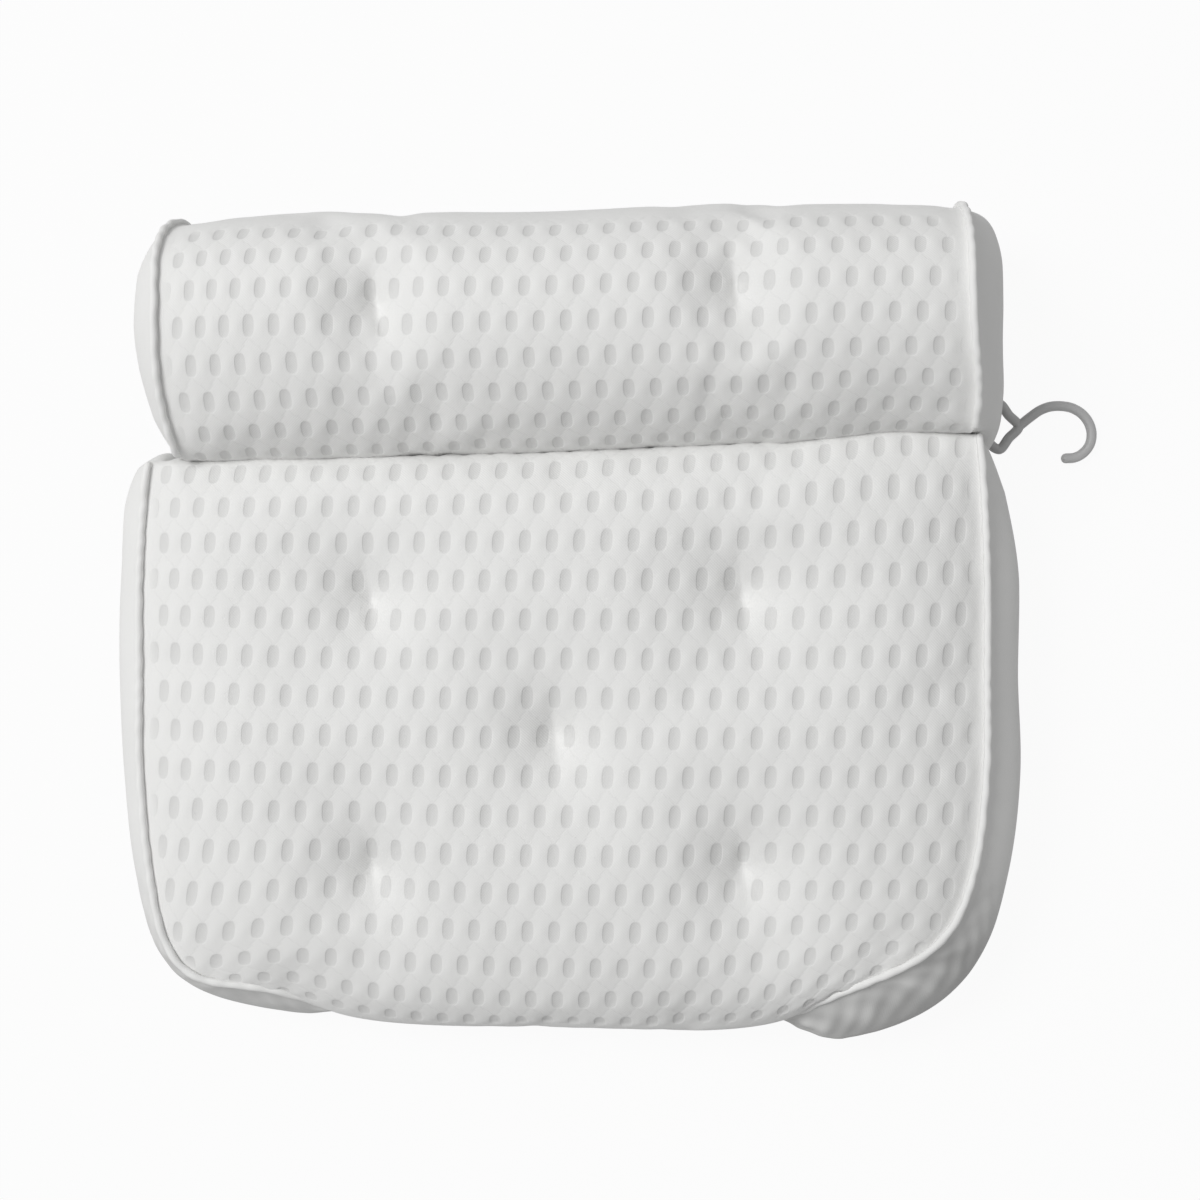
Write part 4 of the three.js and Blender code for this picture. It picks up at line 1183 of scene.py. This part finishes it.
# Cloths: name, colour, loop size and loop rise; moulded: name, colour, roughness, grain size and grain rise
MATERIALS = {
    "mesh_cloth": air_mesh_material("white_air_mesh", WHITE_KNIT),
    "side_cloth": side_knit_material("white_plain_knit", WHITE_KNIT),
    "piping_cloth": cloth_material("white_rolled_binding", (0.84, 0.84, 0.83), 0.001, 0.0001),
    "binding_cloth": cloth_material("white_woven_tape", (0.8, 0.8, 0.79), 0.0007, 0.00008),
    "filling": cloth_material("white_fibre_filling", (0.86, 0.86, 0.85), 0.004, 0.0005),
    "thread": cloth_material("white_twisted_thread", (0.82, 0.82, 0.8), 0.0005, 0.00006),
    "clear_rubber": moulded_material(
        "clear_soft_rubber", (0.93, 0.95, 0.96), 0.16, 0.004, 0.00003, transmission=0.94, ior=1.42
    ),
    "white_plastic": moulded_material("white_moulded_plastic", (0.8, 0.8, 0.79), 0.38, 0.0015, 0.00002),
    "grey_plastic": moulded_material("grey_satin_plastic", (0.53, 0.53, 0.53), 0.42, 0.002, 0.00003),
}


def finished(piece, slot_name):
    """Gives a piece its material and its slot"""
    piece.data.materials.clear()
    piece.data.materials.append(MATERIALS[slot_name])
    return piece


# The two cushions

# Rows and columns of the front cover, then of the gussets
GRIDS = {"panel": (250, 330, 270, 44), "roll": (200, 310, 190, 58)}
BACK_ROWS, BACK_COLUMNS = 120, 200
# Height of the puckers at the far end of each gusset; the shade painted there grows with it
PUCKERS = {("panel", 1): FULL_PUCKER, ("panel", -1): 0.0008, ("roll", 1): 0.0, ("roll", -1): 0.0}

curves_of = {spec["name"]: cushion_curves(spec) for spec in (PANEL, ROLL)}

for spec in (PANEL, ROLL):
    name, body, curves = spec["name"], spec["body"], curves_of[spec["name"]]
    rows, columns, band_rows, band_columns = GRIDS[name]

    cover = finished(front_cover(spec, curves, rows, columns), "mesh_cloth")
    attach(cover, body)
    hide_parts(name + "_front_cover")

    back = finished(back_cover(spec, curves, BACK_ROWS, BACK_COLUMNS), "side_cloth")
    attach(back, body)
    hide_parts(name + "_back_cover")

    binding = finished(edge_tape(spec, curves), "binding_cloth")
    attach(binding, body)
    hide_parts(name + "_edge_tape")

    fibre = finished(filling(spec), "filling")
    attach(fibre, body)
    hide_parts(name + "_filling")

    for side, word in ((-1, "left"), (1, "right")):
        cloth = gusset(spec, curves, side, band_rows, band_columns, PUCKERS[name, side])
        band = finished(cloth, "side_cloth")
        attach(band, body)
        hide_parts(f"{name}_{word}_gusset")
        edge = finished(piping(spec, curves, side), "piping_cloth")
        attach(edge, body)
        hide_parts(f"{name}_{word}_piping")

    for k in range(len(spec["tufts"])):
        tie = finished(tuft_tie(f"{name}_tuft_tie_{k + 1}"), "thread")
        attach(tie, body)
        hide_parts(f"{name}_tuft_tie_{k + 1}")

tape = finished(fold_tape(curves_of["panel"], curves_of["roll"]), "binding_cloth")
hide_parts("panel_fold_tape", "roll_fold_tape")
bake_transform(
    tape,
    "lower_panel",
    "head_roll",
    start=(CENTRE_X, FOLD_Y - FOLD_HALF_GAP, BACK_HEIGHT),
    end=(CENTRE_X, FOLD_Y + FOLD_HALF_GAP, BACK_HEIGHT),
)

ribbon = finished(hook_ribbon(), "binding_cloth")
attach(ribbon, "head_roll")
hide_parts("hook_loop")

# The hook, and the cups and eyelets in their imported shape

hook = finished(hook_rod(), "grey_plastic")
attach(hook, "hook_body")
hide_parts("hook")

for node_name, node in list(frame["nodes"].items()):
    for words, ending, sides, slot_name in (
        ("suction_cup", "_rubber", 16, "clear_rubber"),
        ("eyelet", "_ring", 10, "white_plastic"),
    ):
        if words in node_name:
            moulded = finished(moulded_copy(node_name, ending, sides), slot_name)
            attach(moulded, body_of(node)[0])
            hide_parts(node_name)

# Studio: white floor, soft light from the upper left, camera straight above

LOOKED_AT = Vector((-0.0045, 0.0078, 0.038))
CAMERA_DISTANCE = 0.9
CAMERA_YAW = math.radians(5.5)
CAMERA_LENS = 63.5
SENSOR_WIDTH = 36.0
SKY_LEVEL = 0.385
FLOOR_SIZE, FLOOR_HEIGHT = 3.0, -0.0006
FLOOR_GREY, FLOOR_ROUGHNESS, FLOOR_GLOW = 0.6, 0.9, 0.94


def seen_directly(tree):
    """1 where the background shows, also in a mirror or a clear piece, 0 where it only lights the object"""
    path = tree.nodes.new("ShaderNodeLightPath")
    seen = sum_node(tree, "MAXIMUM", path.outputs["Is Camera Ray"], path.outputs["Is Glossy Ray"])
    return sum_node(tree, "MAXIMUM", seen, path.outputs["Is Transmission Ray"])


def white_world():
    world = bpy.data.worlds.new("studio")
    scene.world = world
    world.use_nodes = True
    tree = world.node_tree
    light = tree.nodes["Background"]
    set_inputs(light, Color=(1, 1, 1, 1))
    level = sum_node(tree, "MAXIMUM", seen_directly(tree), SKY_LEVEL)
    tree.links.new(level, light.inputs["Strength"])


def white_floor():
    edge = FLOOR_SIZE / 2
    corners = [(x * edge, y * edge, FLOOR_HEIGHT) for x, y in ((-1, -1), (1, -1), (1, 1), (-1, 1))]
    floor = mesh_object("floor", corners, [[0, 1, 2, 3]])
    material, tree, paint = new_material("white_floor", (FLOOR_GREY,) * 3, FLOOR_ROUGHNESS)
    lamp = tree.nodes.new("ShaderNodeEmission")
    mixed = tree.nodes.new("ShaderNodeMixShader")
    tree.links.new(sum_node(tree, "MULTIPLY", seen_directly(tree), FLOOR_GLOW), mixed.inputs[0])
    tree.links.new(paint.outputs[0], mixed.inputs[1])
    tree.links.new(lamp.outputs[0], mixed.inputs[2])
    tree.links.new(mixed.outputs[0], tree.nodes["Material Output"].inputs["Surface"])
    floor.data.materials.append(material)


def soft_lamp(name, direction, distance, size, level):
    """A square lamp that shines on the object; at level 1 a white surface that faces it looks white"""
    lamp = bpy.data.lights.new(name, "AREA")
    lamp.shape, lamp.size = "SQUARE", size
    lamp.energy = level * math.pi**2 * distance**2
    toward = Vector(direction).normalized()
    holder = added(name, lamp)
    holder.location = LOOKED_AT + toward * distance
    holder.rotation_euler = (-toward).to_track_quat("-Z", "Y").to_euler()


white_world()
white_floor()
soft_lamp("window_lamp", direction=(-0.47, 0.24, 0.84), distance=3.6, size=1.5, level=0.65)

camera = added("camera", bpy.data.cameras.new("camera"))
camera.data.lens, camera.data.sensor_width = CAMERA_LENS, SENSOR_WIDTH
toward_camera = Vector((math.sin(CAMERA_YAW), 0, math.cos(CAMERA_YAW)))
camera.location = LOOKED_AT + toward_camera * CAMERA_DISTANCE
camera.rotation_euler = (0, CAMERA_YAW, 0)
scene.camera = camera
scene.view_settings.view_transform = "Standard"
